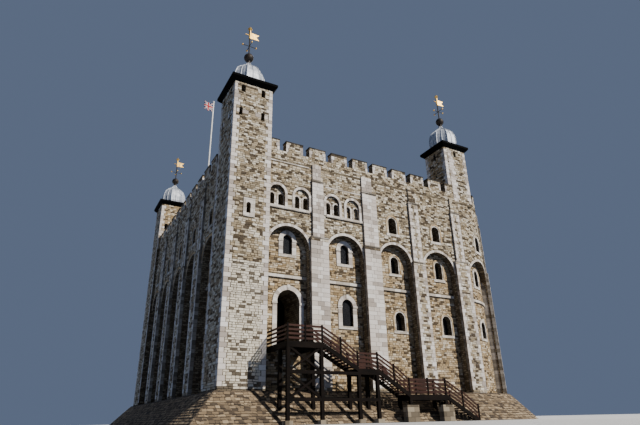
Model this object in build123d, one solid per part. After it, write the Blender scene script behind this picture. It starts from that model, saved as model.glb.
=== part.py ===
from build123d import *

import math
import os

# Medieval stone keep at one tenth of its real size, +Z up, the entrance front facing -Y.
# The origin is the centre of the main block's plan, at ground level.
# Every size below is the real one in metres, turned into model millimetres by M.
M = 100.0

# Main block, measured over the fronts of the buttresses
keep_width = 29.9 * M
keep_depth = 36.07 * M
wall_inner = 4.1 * M
upper_setback = 0.35 * M
recess_setback = 1.05 * M
wall_foot = 2.45 * M
wall_top = 23.15 * M

# Battered base: how far its foot and its top stand out from the buttresses
batter_foot = 2.6 * M
batter_top = 0.25 * M

# Buttresses: lower stage, then two narrower stages that are set back
pilaster_width = 1.83 * M
stage_1_top = 15.9 * M
low_stage_1_top = 15.05 * M
stage_2_top = 21.75 * M
stage_3_top = 23.5 * M
stage_2_setback = 0.12 * M
stage_3_setback = 0.2 * M
stage_2_width = 1.3 * M
stage_3_width = 1.0 * M
cap_height = 0.12 * M
cap_lip = 0.05 * M

# Tall blind arches
blind_arch_apex = 16.58 * M
blind_arch_jamb = 0.06 * M
arch_ring_width = 0.25 * M
arch_ring_proud = 0.06 * M

# Round-headed openings: width, sill height and crown height
DOORWAY = (2.14 * M, 5.85 * M, 10.84 * M)
LOW_TALL = (1.18 * M, 8.09 * M, 10.56 * M)
LOW_SMALL = (1.1 * M, 8.03 * M, 9.9 * M)
MID_SMALL = (0.94 * M, 13.77 * M, 15.6 * M)
TOP_SINGLE = (1.01 * M, 17.75 * M, 19.51 * M)
GALLERY_LIGHT = (0.54 * M, 18.45 * M, 19.79 * M)
APSE_LOW = (1.0 * M, 8.05 * M, 9.82 * M)
TURRET_SLIT = (0.4 * M, 16.98 * M, 18.02 * M)
TURRET_HIGH = (0.37 * M, 29.54 * M, 30.35 * M)

# Glass, and how far it stands behind the wall's face
glass_thickness = 0.06 * M
tall_glass_setback = 0.2 * M
small_glass_setback = 0.55 * M

# Twin gallery lights under their relieving arches
twin_light_offset = 0.46 * M
relieving_radius = 0.76 * M
relieving_spring = 19.78 * M
relieving_band = 0.24 * M
gallery_recess = 0.15 * M
deep_gallery_recess = 0.3 * M
blind_light_depth = 0.25 * M
gallery_sill_height = 0.25 * M

# Dressed stone round the openings
wide_band = 0.41 * M
narrow_band = 0.3 * M
inner_order = 0.14 * M
band_proud = 0.08 * M
inner_order_proud = 0.04 * M
sill_height = 0.26 * M
impost_height = 0.2 * M
impost_lip = 0.06 * M
keystone_width = 0.26 * M

# String courses: foot of the course, depth and projection
string_foot = 11.9 * M
string_height = 0.25 * M
string_proud = 0.15 * M
parapet_string_top = 23.15 * M
gallery_ledge_top = 21.45 * M
ledge_height = 0.12 * M
ledge_proud = 0.05 * M

# Front, bay by bay from the corner turret: width, ledge, and the kind, centre and size of each opening.
# Centres are measured from the bay's left end, and the last bay takes the width left before the chapel.
FRONT_BAYS = (
    (4.19 * M, parapet_string_top, (
        ("door", 2.37 * M, DOORWAY),
        ("mid_tall", 2.25 * M, (0.92 * M, 14.11 * M, 15.99 * M)),
        ("deep_pair", 0.89 * M, GALLERY_LIGHT),
        ("pair", 3.405 * M, GALLERY_LIGHT),
    )),
    (4.1 * M, gallery_ledge_top, (
        ("low_tall", 2.41 * M, LOW_TALL),
        ("mid_tall", 2.305 * M, (0.95 * M, 13.96 * M, 15.9 * M)),
        ("pair", 0.76 * M, GALLERY_LIGHT),
        ("blind_pair", 3.07 * M, GALLERY_LIGHT),
    )),
    (4.04 * M, None, (
        ("low_small", 2.51 * M, (1.1 * M, 8.06 * M, 9.86 * M)),
        ("mid_small", 2.36 * M, (0.94 * M, 13.73 * M, 15.5 * M)),
        ("top_single", 1.945 * M, TOP_SINGLE),
    )),
    (None, None, (
        ("low_small", 2.92 * M, (1.1 * M, 8.0 * M, 9.94 * M)),
        ("mid_small", 2.62 * M, (0.94 * M, 13.8 * M, 15.7 * M)),
        ("top_single", 2.165 * M, TOP_SINGLE),
    )),
)

# Front buttresses: width, top of the lower stage, and the ends of the two stages above it,
# measured from the buttress's left end
FRONT_PILASTERS = (
    (1.81 * M, stage_1_top, (0.27 * M, 1.44 * M), (0.32 * M, 1.27 * M)),
    (1.83 * M, stage_1_top, (0.1 * M, 1.77 * M), (0.14 * M, 1.38 * M)),
    (1.55 * M, low_stage_1_top, (0.175 * M, 1.375 * M), (0.3 * M, 1.25 * M)),
    (1.83 * M, stage_1_top, (0.315 * M, 1.515 * M), (0.44 * M, 1.39 * M)),
)
PLAIN_BAY = (("low_small", LOW_SMALL), ("mid_small", MID_SMALL), ("top_single", TOP_SINGLE))
west_pilaster_count = 4
north_pilaster_count = 3
east_pilaster_count = 2

# Parapet
parapet_thickness = 0.7 * M
crenel_floor = 24.3 * M
merlon_top = 25.37 * M
coping_height = 0.12 * M
coping_lip = 0.05 * M
merlon_width = 1.8 * M
merlon_pitch = 2.54 * M
first_merlon = 5.605 * M

# Corner turrets
sw_turret_width = 3.86 * M
sw_turret_depth = 4.1 * M
rear_turret_side = 3.76 * M
se_turret_side = 3.35 * M
turret_wall = 0.8 * M
turret_room_floor = 16.2 * M
turret_top = 30.6 * M
eaves_height = 0.59 * M
eaves_overhang = 0.42 * M
eaves_lower_overhang = 0.12 * M
eaves_cove_height = 0.33 * M

# Turret lights: centre from the left corner of a face, then width, sill height and crown height
SW_TURRET_LIGHTS = (
    (0.695 * M, (0.35 * M, 26.84 * M, 27.68 * M)),
    (2.925 * M, (0.37 * M, 26.84 * M, 27.68 * M)),
    (0.85 * M, (0.4 * M, 29.54 * M, 30.35 * M)),
    (2.895 * M, (0.37 * M, 29.54 * M, 30.35 * M)),
)
REAR_TURRET_LIGHTS = (
    (0.887 * M, (0.5 * M, 26.65 * M, 27.5 * M)),
    (2.873 * M, (0.5 * M, 26.65 * M, 27.5 * M)),
)

# Lone window low on the front corner turret: its centre, and the ends, foot and head of its frame
slit_centre = 1.85 * M
SLIT_FRAME = (1.37 * M, 2.44 * M, 16.65 * M, 18.41 * M)

# Lead cupolas: height above the eaves and radius, both in metres
CUPOLA_PROFILE = (
    (0.0, 1.62), (0.6, 1.72), (1.3, 1.72), (1.75, 1.64), (2.35, 1.41), (2.8, 0.98), (3.1, 0.5), (3.4, 0.28),
    (3.6, 0.2),
)
cupola_sides = 8

# Finials and weather vanes
neck_radius = 0.2 * M
ball_radius = 0.5 * M
ball_above_cupola = 0.81 * M
spindle_radius = 0.07 * M
arms_above_ball = 1.6 * M
arm_length = 0.75 * M
arm_radius = 0.035 * M
arm_tip_radius = 0.09 * M
vane_above_ball = 2.6 * M
vane_height = 1.0 * M
vane_length = 1.05 * M
vane_notch = 0.35 * M
vane_plate = 0.05 * M
pointer_length = 0.5 * M
sleeve_wall = 0.045 * M
sleeve_clearance = 0.0008 * M
sleeve_cap = 0.1 * M
crown_height = 0.55 * M
crown_radius = 0.24 * M

# Rounded chapel end at the south-east corner; its centre stands inside the east face
chapel_inset = 2.36 * M
apse_radius = 7.45 * M
apse_bay_count = 3

# Floors and roofs: height of the upper surface
floor_thickness = 0.4 * M
ground_slab_top = 0.35 * M
entrance_floor_top = DOORWAY[1]
upper_floor_top = 12.0 * M
gallery_floor_top = 17.2 * M
roof_thickness = 0.3 * M
roof_eaves = 22.3 * M
roof_ridge = 23.8 * M

# Timber entrance stair, from the top landing down to the ground
stair_outer = -3.1 * M
stair_width = 1.7 * M
landing_levels = (DOORWAY[1], 4.0 * M, 2.1 * M)
landing_starts = (4.25 * M, 10.43 * M, 15.4 * M)
landing_ends = (7.35 * M, 12.45 * M, 19.45 * M)
stair_foot = 22.9 * M
flight_risers = (11, 11, 12)
deck_thickness = 0.14 * M
beam_height = 0.3 * M
post_size = 0.26 * M
tread_thickness = 0.06 * M
stringer_width = 0.12 * M
stringer_depth = 0.36 * M
rail_height = 1.27 * M
rail_count = 4
rail_depth = 0.16 * M
rail_thickness = 0.05 * M
rail_post_head = 0.08 * M
footing_depth = 0.6 * M
footing_widths = (0.6 * M, 0.6 * M, 1.2 * M)
footing_heights = (0.3 * M, 0.3 * M, 1.3 * M)
tie_levels = (3.63 * M, 1.7 * M)
tie_height = 0.24 * M
brace_size = 0.16 * M

# Flagpole and flag
flagpole_x = 1.95 * M
flagpole_y = 15.0 * M
flagpole_top = 38.4 * M
flagpole_radius = 0.09 * M
flagpole_foot_side = 0.6 * M
flagpole_foot_height = 0.35 * M
flag_drop = 0.3 * M
flag_hoist = 1.2 * M
flag_fly = 1.15 * M
flag_thickness = 0.04 * M
flag_bearing = 190.0
flag_wave = 0.1 * M

# Overrun that lets a cutter pass right through what it cuts
OVER = 0.1 * M
to_centre = Location((-keep_width / 2, -keep_depth / 2, 0))


def block(x0, x1, y0, y1, z0, z1):
    """Box between two corners."""
    return Pos(x0, y0, z0) * Box(x1 - x0, y1 - y0, z1 - z0, align=(Align.MIN, Align.MIN, Align.MIN))


def disc(radius, z0, z1):
    """Upright cylinder on the Z axis between two heights."""
    return Pos(0, 0, z0) * Cylinder(radius, z1 - z0, align=(Align.CENTER, Align.CENTER, Align.MIN))


def arch_prism(centre, width, sill, apex, y0, y1):
    """Round-headed prism that runs from y0 to y1."""
    radius = width / 2
    spring = apex - radius
    left, right = centre - radius, centre + radius
    outline = Wire([
        Edge.make_line((left, y0, sill), (right, y0, sill)),
        Edge.make_line((right, y0, sill), (right, y0, spring)),
        Edge.make_three_point_arc((right, y0, spring), (centre, y0, apex), (left, y0, spring)),
        Edge.make_line((left, y0, spring), (left, y0, sill)),
    ])
    return Solid.extrude(Face(outline), Vector(0, y1 - y0, 0))


def ring_sector(inner, outer, start, end, z0, z1):
    """Part of a round wall about the Z axis; angles run from south towards east, in degrees."""
    def at(radius, angle):
        turn = math.radians(angle)
        return (radius * math.sin(turn), -radius * math.cos(turn), z0)

    middle = (start + end) / 2
    outline = Wire([
        Edge.make_three_point_arc(at(outer, start), at(outer, middle), at(outer, end)),
        Edge.make_line(at(outer, end), at(inner, end)),
        Edge.make_three_point_arc(at(inner, end), at(inner, middle), at(inner, start)),
        Edge.make_line(at(inner, start), at(outer, start)),
    ])
    return Solid.extrude(Face(outline), Vector(0, 0, z1 - z0))


def side_profile(points, y0, y1):
    """Prism of an outline drawn in X and Z, from y0 to y1."""
    outline = Wire.make_polygon([(x, y0, z) for x, z in points], close=True)
    return Solid.extrude(Face(outline), Vector(0, y1 - y0, 0))


def one_solid(shape):
    """The only solid of a shape."""
    solids = shape.solids()
    assert len(solids) == 1, f"expected one solid, got {len(solids)}"
    return solids[0]


def joined(first, *others):
    """All the shapes fused into one."""
    result = first
    for other in others:
        result = result + other
    return result


class Side:
    """One flat side of the keep, seen from outside: x runs from left to right and y inwards."""

    def __init__(self, corner, turn, start, bays, pilasters, end=None):
        self.location = Location((corner[0], corner[1], 0), (0, 0, turn))
        self.bays = []
        self.pilasters = []
        x = start
        for k, (width, ledge, contents) in enumerate(bays):
            if width is None:
                width = end - x - pilasters[k][0]
            placed = [(name, x + centre, size) for name, centre, size in contents]
            self.bays.append((x, x + width, placed, ledge))
            x += width
            if k < len(pilasters):
                self.pilasters.append((x, *pilasters[k]))
                x += pilasters[k][0]
        self.start = start
        self.end = x

    def put(self, shapes):
        """Moves shapes from this side's frame to the keep's."""
        return [self.location * shape for shape in shapes]


def plain_side(corner, turn, start, end, count):
    """A side of equal bays with count buttresses between them."""
    width = (end - start - count * pilaster_width) / (count + 1)
    bays = []
    for _ in range(count + 1):
        bays.append((width, None, [(kind, width / 2, size) for kind, size in PLAIN_BAY]))
    return Side(corner, turn, start, bays, [(pilaster_width, stage_1_top, None, None)] * count)


south = Side((0, 0), 0, sw_turret_width, FRONT_BAYS, FRONT_PILASTERS, keep_width - chapel_inset)

# The chapel's round wall starts where the last front buttress ends
apse_x = south.end
apse_y = apse_radius
apse_wall_radius = apse_radius - upper_setback
apse_inner_radius = apse_radius - wall_inner
apse_location = Location((apse_x, apse_y, 0))
apse_spread = math.degrees(pilaster_width / apse_radius)
apse_end = 180 - math.degrees(math.asin((keep_width - apse_x) / apse_radius))
apse_north = apse_y + math.sqrt(apse_radius**2 - (keep_width - apse_x) ** 2)

west = plain_side((0, keep_depth), -90, rear_turret_side, keep_depth - sw_turret_depth, west_pilaster_count)
north = plain_side((keep_width, keep_depth), 180, rear_turret_side, keep_width - rear_turret_side,
                   north_pilaster_count)
east = plain_side((keep_width, 0), 90, apse_north, keep_depth - rear_turret_side, east_pilaster_count)
SIDES = {"south": south, "west": west, "north": north, "east": east}

# Each kind of opening: the face it opens in, its band of dressed stone, and the glass behind
WINDOWS = {
    "door": (recess_setback, wide_band, None),
    "low_tall": (recess_setback, wide_band, tall_glass_setback),
    "low_small": (recess_setback, narrow_band, small_glass_setback),
    "mid_tall": (recess_setback, wide_band, tall_glass_setback),
    "mid_small": (recess_setback, narrow_band, small_glass_setback),
    "top_single": (upper_setback, narrow_band, None),
}
PAIRS = {"pair": gallery_recess, "deep_pair": deep_gallery_recess, "blind_pair": gallery_recess}
KEYED = ("door", "low_tall")
DRESSED = ("door", "low_tall", "mid_tall")


def relieving_arch(centre, radius, sill, y0, y1):
    """Round-headed prism over a pair of gallery lights."""
    return arch_prism(centre, 2 * radius, sill, relieving_spring + radius, y0, y1)


def bay_wall(start, end, contents, ledge):
    """Wall of one bay: a tall round-headed recess, with the openings cut right through."""
    centre = (start + end) / 2
    wall = block(start, end, upper_setback, wall_inner, wall_foot, wall_top)
    recess_width = end - start - 2 * blind_arch_jamb
    wall -= arch_prism(centre, recess_width, wall_foot - OVER, blind_arch_apex, upper_setback - OVER,
                       recess_setback)
    for name, x, (width, sill, apex) in contents:
        if name in WINDOWS:
            wall -= arch_prism(x, width, sill, apex, 0, wall_inner + OVER)
            continue
        back_of_recess = upper_setback + PAIRS[name]
        wall -= relieving_arch(x, relieving_radius, sill, 0, back_of_recess)
        back = back_of_recess + blind_light_depth if name == "blind_pair" else wall_inner + OVER
        for hand in (-1, 1):
            wall -= arch_prism(x + hand * twin_light_offset, width, sill, apex, 0, back)
    return one_solid(wall)


def pilaster(start, width, first_top, second, third):
    """Buttress in three stages, bonded through the wall's whole thickness."""
    pier = block(start, start + width, 0, wall_inner, wall_foot, first_top)
    pier += block(start, start + width, upper_setback, wall_inner, first_top, wall_top)
    pier += block(start, start + width, -cap_lip, upper_setback, first_top - cap_height, first_top)
    second = second or (width / 2 - stage_2_width / 2, width / 2 + stage_2_width / 2)
    left, right = start + second[0], start + second[1]
    pier += block(left, right, stage_2_setback, upper_setback, first_top, stage_2_top)
    cap_front, cap_foot = stage_2_setback - cap_lip, stage_2_top - cap_height
    pier += block(left - cap_lip, right + cap_lip, cap_front, upper_setback, cap_foot, stage_2_top)
    third = third or (width / 2 - stage_3_width / 2, width / 2 + stage_3_width / 2)
    left, right = start + third[0], start + third[1]
    pier += block(left, right, stage_3_setback, upper_setback, stage_2_top, stage_3_top)
    return one_solid(pier)


def arch_ring(start, end):
    """Dressed stones round the head of a blind arch, between its buttresses."""
    centre = (start + end) / 2
    width = end - start - 2 * blind_arch_jamb
    spring = blind_arch_apex - width / 2
    front = upper_setback - arch_ring_proud
    ring = arch_prism(centre, width + 2 * arch_ring_width, spring - OVER, blind_arch_apex + arch_ring_width,
                      front, upper_setback)
    ring -= arch_prism(centre, width, spring - 2 * OVER, blind_arch_apex, front - OVER, upper_setback + OVER)
    return one_solid(ring & block(start, end, front, upper_setback, spring, wall_top))


def surround(name, centre, size):
    """Dressed stones round one opening: a keyed frame, or an arch of two orders."""
    width, sill, apex = size
    plane, band, _ = WINDOWS[name]
    front = plane - band_proud
    foot = sill if name == "door" else sill - sill_height
    frame = arch_prism(centre, width + 2 * band, foot, apex + band, front, plane)
    if name in DRESSED:
        half = width / 2 + band + impost_lip
        spring = apex - width / 2
        frame += block(centre - half, centre + half, front - impost_lip, plane, spring - impost_height,
                       spring)
    else:
        step = plane - inner_order_proud
        frame -= arch_prism(centre, width + 2 * inner_order, sill, apex + inner_order, front - OVER, step)
    if name in KEYED:
        half = keystone_width / 2
        frame += block(centre - half, centre + half, front - impost_lip, plane, apex,
                       apex + band + impost_lip)
    frame -= arch_prism(centre, width, foot - OVER if name == "door" else sill, apex, front - OVER,
                        plane + OVER)
    solids = frame.solids()
    return solids if name == "door" else [one_solid(frame)]


def gallery_hoods(start, end, contents):
    """Hoods of the relieving arches over the twin lights, standing on one sill."""
    front = upper_setback - band_proud
    _, sill, _ = GALLERY_LIGHT
    pairs = [x for name, x, _ in contents if name in PAIRS]
    if not pairs:
        return []
    outer = relieving_radius + relieving_band
    foot = sill - gallery_sill_height
    hoods = block(start, end, front - impost_lip, upper_setback, foot, sill)
    hoods = joined(hoods, *[relieving_arch(x, outer, sill - OVER, front, upper_setback) for x in pairs])
    left = max(start - relieving_band, sw_turret_width)
    hoods = hoods & block(left, end + relieving_band, 0, upper_setback, foot, wall_top)
    for x in pairs:
        hoods -= relieving_arch(x, relieving_radius, sill, front - OVER, upper_setback + OVER)
    return [one_solid(hoods)]


def side_surrounds(side):
    """All window surrounds and gallery hoods of one side."""
    frames = []
    for start, end, contents, _ in side.bays:
        for name, x, size in contents:
            if name in WINDOWS:
                frames += surround(name, x, size)
        frames += gallery_hoods(start, end, contents)
    return side.put(frames)


def side_strings(side):
    """String course of each recess, and the thin ledge over some bays."""
    bands = []
    for start, end, _, ledge in side.bays:
        left, right = start + blind_arch_jamb, end - blind_arch_jamb
        front, top = recess_setback - string_proud, string_foot + string_height
        bands.append(block(left, right, front, recess_setback, string_foot, top))
        if ledge is not None:
            bands.append(block(start, end, upper_setback - ledge_proud, upper_setback, ledge - ledge_height,
                               ledge))
    return side.put(bands)


def side_panes(side):
    """Glass of the lower and middle windows, set back in their reveals."""
    panes = []
    for _, _, contents, _ in side.bays:
        for name, x, size in contents:
            if name not in WINDOWS or WINDOWS[name][2] is None:
                continue
            plane, _, setback = WINDOWS[name]
            front = plane + setback
            panes.append(arch_prism(x, *size, front, front + glass_thickness))
    return side.put(panes)


def merlon_spans(start, end):
    """Ends of the merlons between two turrets, with part ones where the pattern is cut off."""
    spans = []
    x = first_merlon - merlon_pitch * math.ceil((first_merlon - start) / merlon_pitch + 1)
    while x < end:
        left, right = max(x, start), min(x + merlon_width, end)
        if right - left > merlon_width / 5:
            spans.append((left, right))
        x += merlon_pitch
    return spans


def parapet(start, end):
    """Parapet wall with its merlons."""
    back = upper_setback + parapet_thickness
    wall = block(start, end, upper_setback, back, wall_top, crenel_floor)
    merlons = [block(a, b, upper_setback, back, crenel_floor, merlon_top)
               for a, b in merlon_spans(start, end)]
    return one_solid(joined(wall, *merlons))


def copings(start, end):
    """Weathered stones on the merlons' heads."""
    front, back = upper_setback - coping_lip, upper_setback + parapet_thickness + coping_lip
    stones = []
    for a, b in merlon_spans(start, end):
        left, right = max(a - coping_lip, start), min(b + coping_lip, end)
        stones.append(block(left, right, front, back, merlon_top, merlon_top + coping_height))
    return stones


def plinth_block(foot, head, inner):
    """Battered block over the plan between an outer edge and an inner one; each edge is two points."""
    bottom = Wire.make_polygon([(*p, 0) for p in (*foot, *reversed(inner))], close=True)
    top = Wire.make_polygon([(*p, wall_foot) for p in (*head, *reversed(inner))], close=True)
    return Solid.make_loft([bottom, top], ruled=True)


def plinths():
    """The battered base: one block to a side, mitred at the corners, and a turned one round the apse."""
    w, d, i = keep_width, keep_depth, wall_inner

    def corners(spread):
        return {"sw": (-spread, -spread), "nw": (-spread, d + spread), "ne": (w + spread, d + spread),
                "s_end": (apse_x, -spread), "e_end": (w + spread, apse_y + apse_inner_radius)}

    inner = {"sw": (i, i), "nw": (i, d - i), "ne": (w - i, d - i), "s_end": (apse_x, i),
             "e_end": (w - i, apse_y + apse_inner_radius)}
    foot, head = corners(batter_foot), corners(batter_top)

    def between(a, b):
        return plinth_block((foot[a], foot[b]), (head[a], head[b]), (inner[a], inner[b]))

    profile = Wire.make_polygon([(apse_inner_radius, 0, 0), (apse_radius + batter_foot, 0, 0),
                                 (apse_radius + batter_top, 0, wall_foot), (apse_inner_radius, 0, wall_foot)],
                                close=True)
    apse = apse_location * Solid.revolve(Face(profile), 180, Axis.Z).rotate(Axis.Z, -90)
    return {
        "plinth_south": between("sw", "s_end"),
        "plinth_west": between("nw", "sw"),
        "plinth_north": between("ne", "nw"),
        "plinth_east": one_solid(between("e_end", "ne") - apse),
        "plinth_apse": apse,
    }


def face_cutters(width, depth, windows):
    """The same small openings for all four faces of a turret with one corner at the origin."""
    faces = ((0, 0, 0, width), (width, 0, 90, depth), (width, depth, 180, width), (0, depth, 270, depth))
    cutters = []
    for x, y, turn, face in faces:
        for centre, window in windows:
            cutter = arch_prism(centre + (face - width) / 2, *window, -OVER, turret_wall + OVER)
            cutters.append(Location((x, y, 0), (0, 0, turn)) * cutter)
    return cutters


def turret_shell(width, depth, foot, room, windows):
    """Square turret: solid below its room, hollow above, with small openings in each face above the walls."""
    body = block(0, width, 0, depth, foot, turret_top)
    t = turret_wall
    body -= block(t, width - t, t, depth - t, room, turret_top + OVER)
    for cutter in face_cutters(width, depth, windows):
        body -= cutter
    return body


def sw_turret():
    """Front corner turret, from the base to the eaves, with a lone window low on its front."""
    body = turret_shell(sw_turret_width, sw_turret_depth, wall_foot, turret_room_floor, SW_TURRET_LIGHTS)
    body -= arch_prism(slit_centre, *TURRET_SLIT, -OVER, turret_wall + OVER)
    return one_solid(body)


def slit_surround():
    """Dressed stones round the lone window of the front corner turret."""
    left, right, foot, head = SLIT_FRAME
    frame = block(left, right, -band_proud, 0, foot, head)
    frame -= arch_prism(slit_centre, *TURRET_SLIT, -band_proud - OVER, OVER)
    return one_solid(frame)


def rear_turret(x):
    """Solid shaft of a rear corner turret, up to the wall head."""
    shaft = block(0, rear_turret_side, 0, rear_turret_side, wall_foot, wall_top)
    return Pos(x, keep_depth - rear_turret_side) * shaft


def rear_turret_head(x):
    """Hollow head of a rear corner turret: two small lights in each face, above the walls."""
    body = turret_shell(rear_turret_side, rear_turret_side, wall_top, wall_top - OVER, REAR_TURRET_LIGHTS)
    return Pos(x, keep_depth - rear_turret_side) * one_solid(body)


def se_turret():
    """Turret on the wall head beside the chapel, with one light in each face."""
    lights = [(se_turret_side / 2, TURRET_HIGH)]
    body = turret_shell(se_turret_side, se_turret_side, wall_top, wall_top + floor_thickness, lights)
    return Pos(keep_width - se_turret_side, upper_setback) * one_solid(body)


# Plan centre and size of each turret
TURRETS = {
    "sw": (sw_turret_width / 2, sw_turret_depth / 2, sw_turret_width, sw_turret_depth),
    "nw": (rear_turret_side / 2, keep_depth - rear_turret_side / 2, rear_turret_side, rear_turret_side),
    "ne": (keep_width - rear_turret_side / 2, keep_depth - rear_turret_side / 2, rear_turret_side,
           rear_turret_side),
    "se": (keep_width - se_turret_side / 2, upper_setback + se_turret_side / 2, se_turret_side,
           se_turret_side),
}
cupola_base = turret_top + eaves_height
finial_base = cupola_base + CUPOLA_PROFILE[-1][0] * M
ball_level = finial_base + ball_above_cupola
vane_bottom = ball_level + vane_above_ball
vane_tip = vane_bottom + vane_height


def at_turret(name, shape):
    """Moves a shape from the Z axis to a turret's centre."""
    x, y, _, _ = TURRETS[name]
    return Pos(x, y) * shape


def eaves(name):
    """Dark timber eaves: a sloping cove under a flat fascia."""
    _, _, w, d = TURRETS[name]
    cove_top = turret_top + eaves_cove_height

    def outline(overhang, z):
        return Pos(0, 0, z) * Rectangle(w + 2 * overhang, d + 2 * overhang).face().outer_wire()

    body = Solid.make_loft([outline(eaves_lower_overhang, turret_top), outline(eaves_overhang, cove_top)],
                           ruled=True)
    half_w, half_d = w / 2 + eaves_overhang, d / 2 + eaves_overhang
    body += block(-half_w, half_w, -half_d, half_d, cove_top, cupola_base)
    return at_turret(name, one_solid(body))


def cupola(name):
    """Eight-sided lead cupola that swells above the eaves and sweeps up to a thin neck."""
    turns = [math.radians((k + 0.5) * 360 / cupola_sides) for k in range(cupola_sides)]
    rings = []
    for height, reach in CUPOLA_PROFILE:
        radius, z = reach * M, cupola_base + height * M
        rings.append(Wire.make_polygon([(radius * math.cos(t), radius * math.sin(t), z) for t in turns],
                                       close=True))
    return at_turret(name, Solid.make_loft(rings, ruled=True))


def finial(name):
    """Neck and ball, with the spindle and the fixed direction arms."""
    arms = ball_level + arms_above_ball
    body = disc(neck_radius, finial_base, ball_level) + Pos(0, 0, ball_level) * Sphere(ball_radius)
    body += disc(spindle_radius, ball_level, vane_tip)
    for turn in (0, 90):
        body += Pos(0, 0, arms) * Rot(0, 0, turn) * Rot(90, 0, 0) * Cylinder(arm_radius, 2 * arm_length)
    for turn in (0, 90, 180, 270):
        body += Rot(0, 0, turn) * Pos(arm_length, 0, arms) * Sphere(arm_tip_radius)
    return at_turret(name, one_solid(body))


def vane(name):
    """Swallow-tailed vane and crown, on a capped sleeve that turns on the spindle."""
    bore = spindle_radius + sleeve_clearance
    cap_top = vane_tip + sleeve_cap
    middle = vane_bottom + vane_height / 2
    plate = side_profile([(0, vane_bottom + 0.1 * vane_height),
                          (vane_length, vane_bottom + 0.15 * vane_height),
                          (vane_length - vane_notch, middle), (vane_length, vane_tip - 0.15 * vane_height),
                          (0, vane_tip - 0.1 * vane_height)], -vane_plate / 2, vane_plate / 2)
    pointer = Pos(-pointer_length / 2, 0, middle) * Rot(0, 90, 0) * Cylinder(sleeve_wall, pointer_length)
    bowl = crown_height / 2
    crown = Pos(0, 0, cap_top) * Cone(crown_radius / 2, crown_radius, bowl,
                                      align=(Align.CENTER, Align.CENTER, Align.MIN))
    crown += Pos(0, 0, cap_top + bowl) * Cone(crown_radius, crown_radius / 5, bowl,
                                              align=(Align.CENTER, Align.CENTER, Align.MIN))
    body = joined(disc(bore + sleeve_wall, vane_bottom, cap_top), plate, pointer, crown)
    body -= disc(bore, vane_bottom - OVER, vane_tip + sleeve_clearance)
    return at_turret(name, one_solid(body))


def apse_spans():
    """Start and end angles of the apse's bays and of the buttresses between them."""
    bay = (apse_end - (apse_bay_count - 1) * apse_spread) / apse_bay_count
    step = bay + apse_spread
    bays = [(k * step, k * step + bay) for k in range(apse_bay_count)]
    piers = [(k * step + bay, (k + 1) * step) for k in range(apse_bay_count - 1)]
    return bays, piers


def apse_cutter(angle, width, sill, apex, reach):
    """Round-headed cutter through the apse wall at an angle from south."""
    return Rot(0, 0, angle) * arch_prism(0, width, sill, apex, -apse_radius - OVER, reach)


def apse_bay(start, end):
    """Curved wall of one apse bay, with its tall recess and its windows."""
    middle = (start + end) / 2
    wall = ring_sector(apse_inner_radius, apse_wall_radius, start, end, wall_foot, wall_top)
    chord = 2 * apse_wall_radius * math.sin(math.radians((end - start) / 2)) - 2 * blind_arch_jamb
    shell = ring_sector(apse_radius - recess_setback, apse_radius + OVER, start, end, 0, wall_top)
    wall -= apse_cutter(middle, chord, wall_foot - OVER, blind_arch_apex, -apse_inner_radius) & shell
    for width, sill, apex in (APSE_LOW, MID_SMALL, TOP_SINGLE):
        wall -= apse_cutter(middle, width, sill, apex, -apse_inner_radius / 2)
    return one_solid(wall)


def apse_pilaster(start, end):
    """Buttress on the apse, in the same three stages as the others."""
    middle = (start + end) / 2
    pier = ring_sector(apse_inner_radius, apse_wall_radius, start, end, wall_foot, wall_top)
    pier += ring_sector(apse_wall_radius - OVER, apse_radius, start, end, wall_foot, stage_1_top)
    levels = (
        (stage_2_width, stage_2_setback, stage_1_top, stage_2_top),
        (stage_3_width, stage_3_setback, stage_2_top, stage_3_top),
    )
    for stage_width, setback, bottom, top in levels:
        half = math.degrees(stage_width / 2 / apse_radius)
        outer = apse_radius - setback
        pier += ring_sector(apse_wall_radius - OVER, outer, middle - half, middle + half, bottom, top)
    pier -= ring_sector(apse_inner_radius, apse_wall_radius, start, end, wall_top, stage_3_top + OVER)
    return one_solid(pier)


def apse_panes():
    """Glass of the apse's lower and middle windows."""
    panes = []
    for start, end in apse_spans()[0]:
        for width, sill, apex in (APSE_LOW, MID_SMALL):
            front = -apse_radius + recess_setback + small_glass_setback
            pane = arch_prism(0, width, sill, apex, front, front + glass_thickness)
            panes.append(apse_location * Rot(0, 0, (start + end) / 2) * pane)
    return panes


def apse_surrounds():
    """Dressed stones round the apse's windows, bent to the wall."""
    kinds = ((APSE_LOW, recess_setback), (MID_SMALL, recess_setback), (TOP_SINGLE, upper_setback))
    frames = []
    for start, end in apse_spans()[0]:
        middle = (start + end) / 2
        for (width, sill, apex), setback in kinds:
            outer, foot = width + 2 * narrow_band, sill - sill_height
            band = apse_cutter(middle, outer, foot, apex + narrow_band, -apse_inner_radius)
            plane = apse_radius - setback
            frame = band & ring_sector(plane, plane + band_proud, start, end, 0, wall_top)
            frame -= apse_cutter(middle, width, sill, apex, -apse_inner_radius)
            frames.append(apse_location * one_solid(frame))
    return frames


def apse_rings():
    """Dressed stones round the heads of the apse's blind arches, bent to the wall."""
    rings = []
    for start, end in apse_spans()[0]:
        middle = (start + end) / 2
        chord = 2 * apse_wall_radius * math.sin(math.radians((end - start) / 2)) - 2 * blind_arch_jamb
        spring = blind_arch_apex - chord / 2
        outer = apse_cutter(middle, chord + 2 * arch_ring_width, spring - OVER,
                            blind_arch_apex + arch_ring_width, -apse_inner_radius)
        ring = outer & ring_sector(apse_wall_radius, apse_wall_radius + arch_ring_proud, start, end, spring,
                                   wall_top)
        ring -= apse_cutter(middle, chord, spring - 2 * OVER, blind_arch_apex, -apse_inner_radius)
        rings.append(apse_location * one_solid(ring))
    return rings


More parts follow.
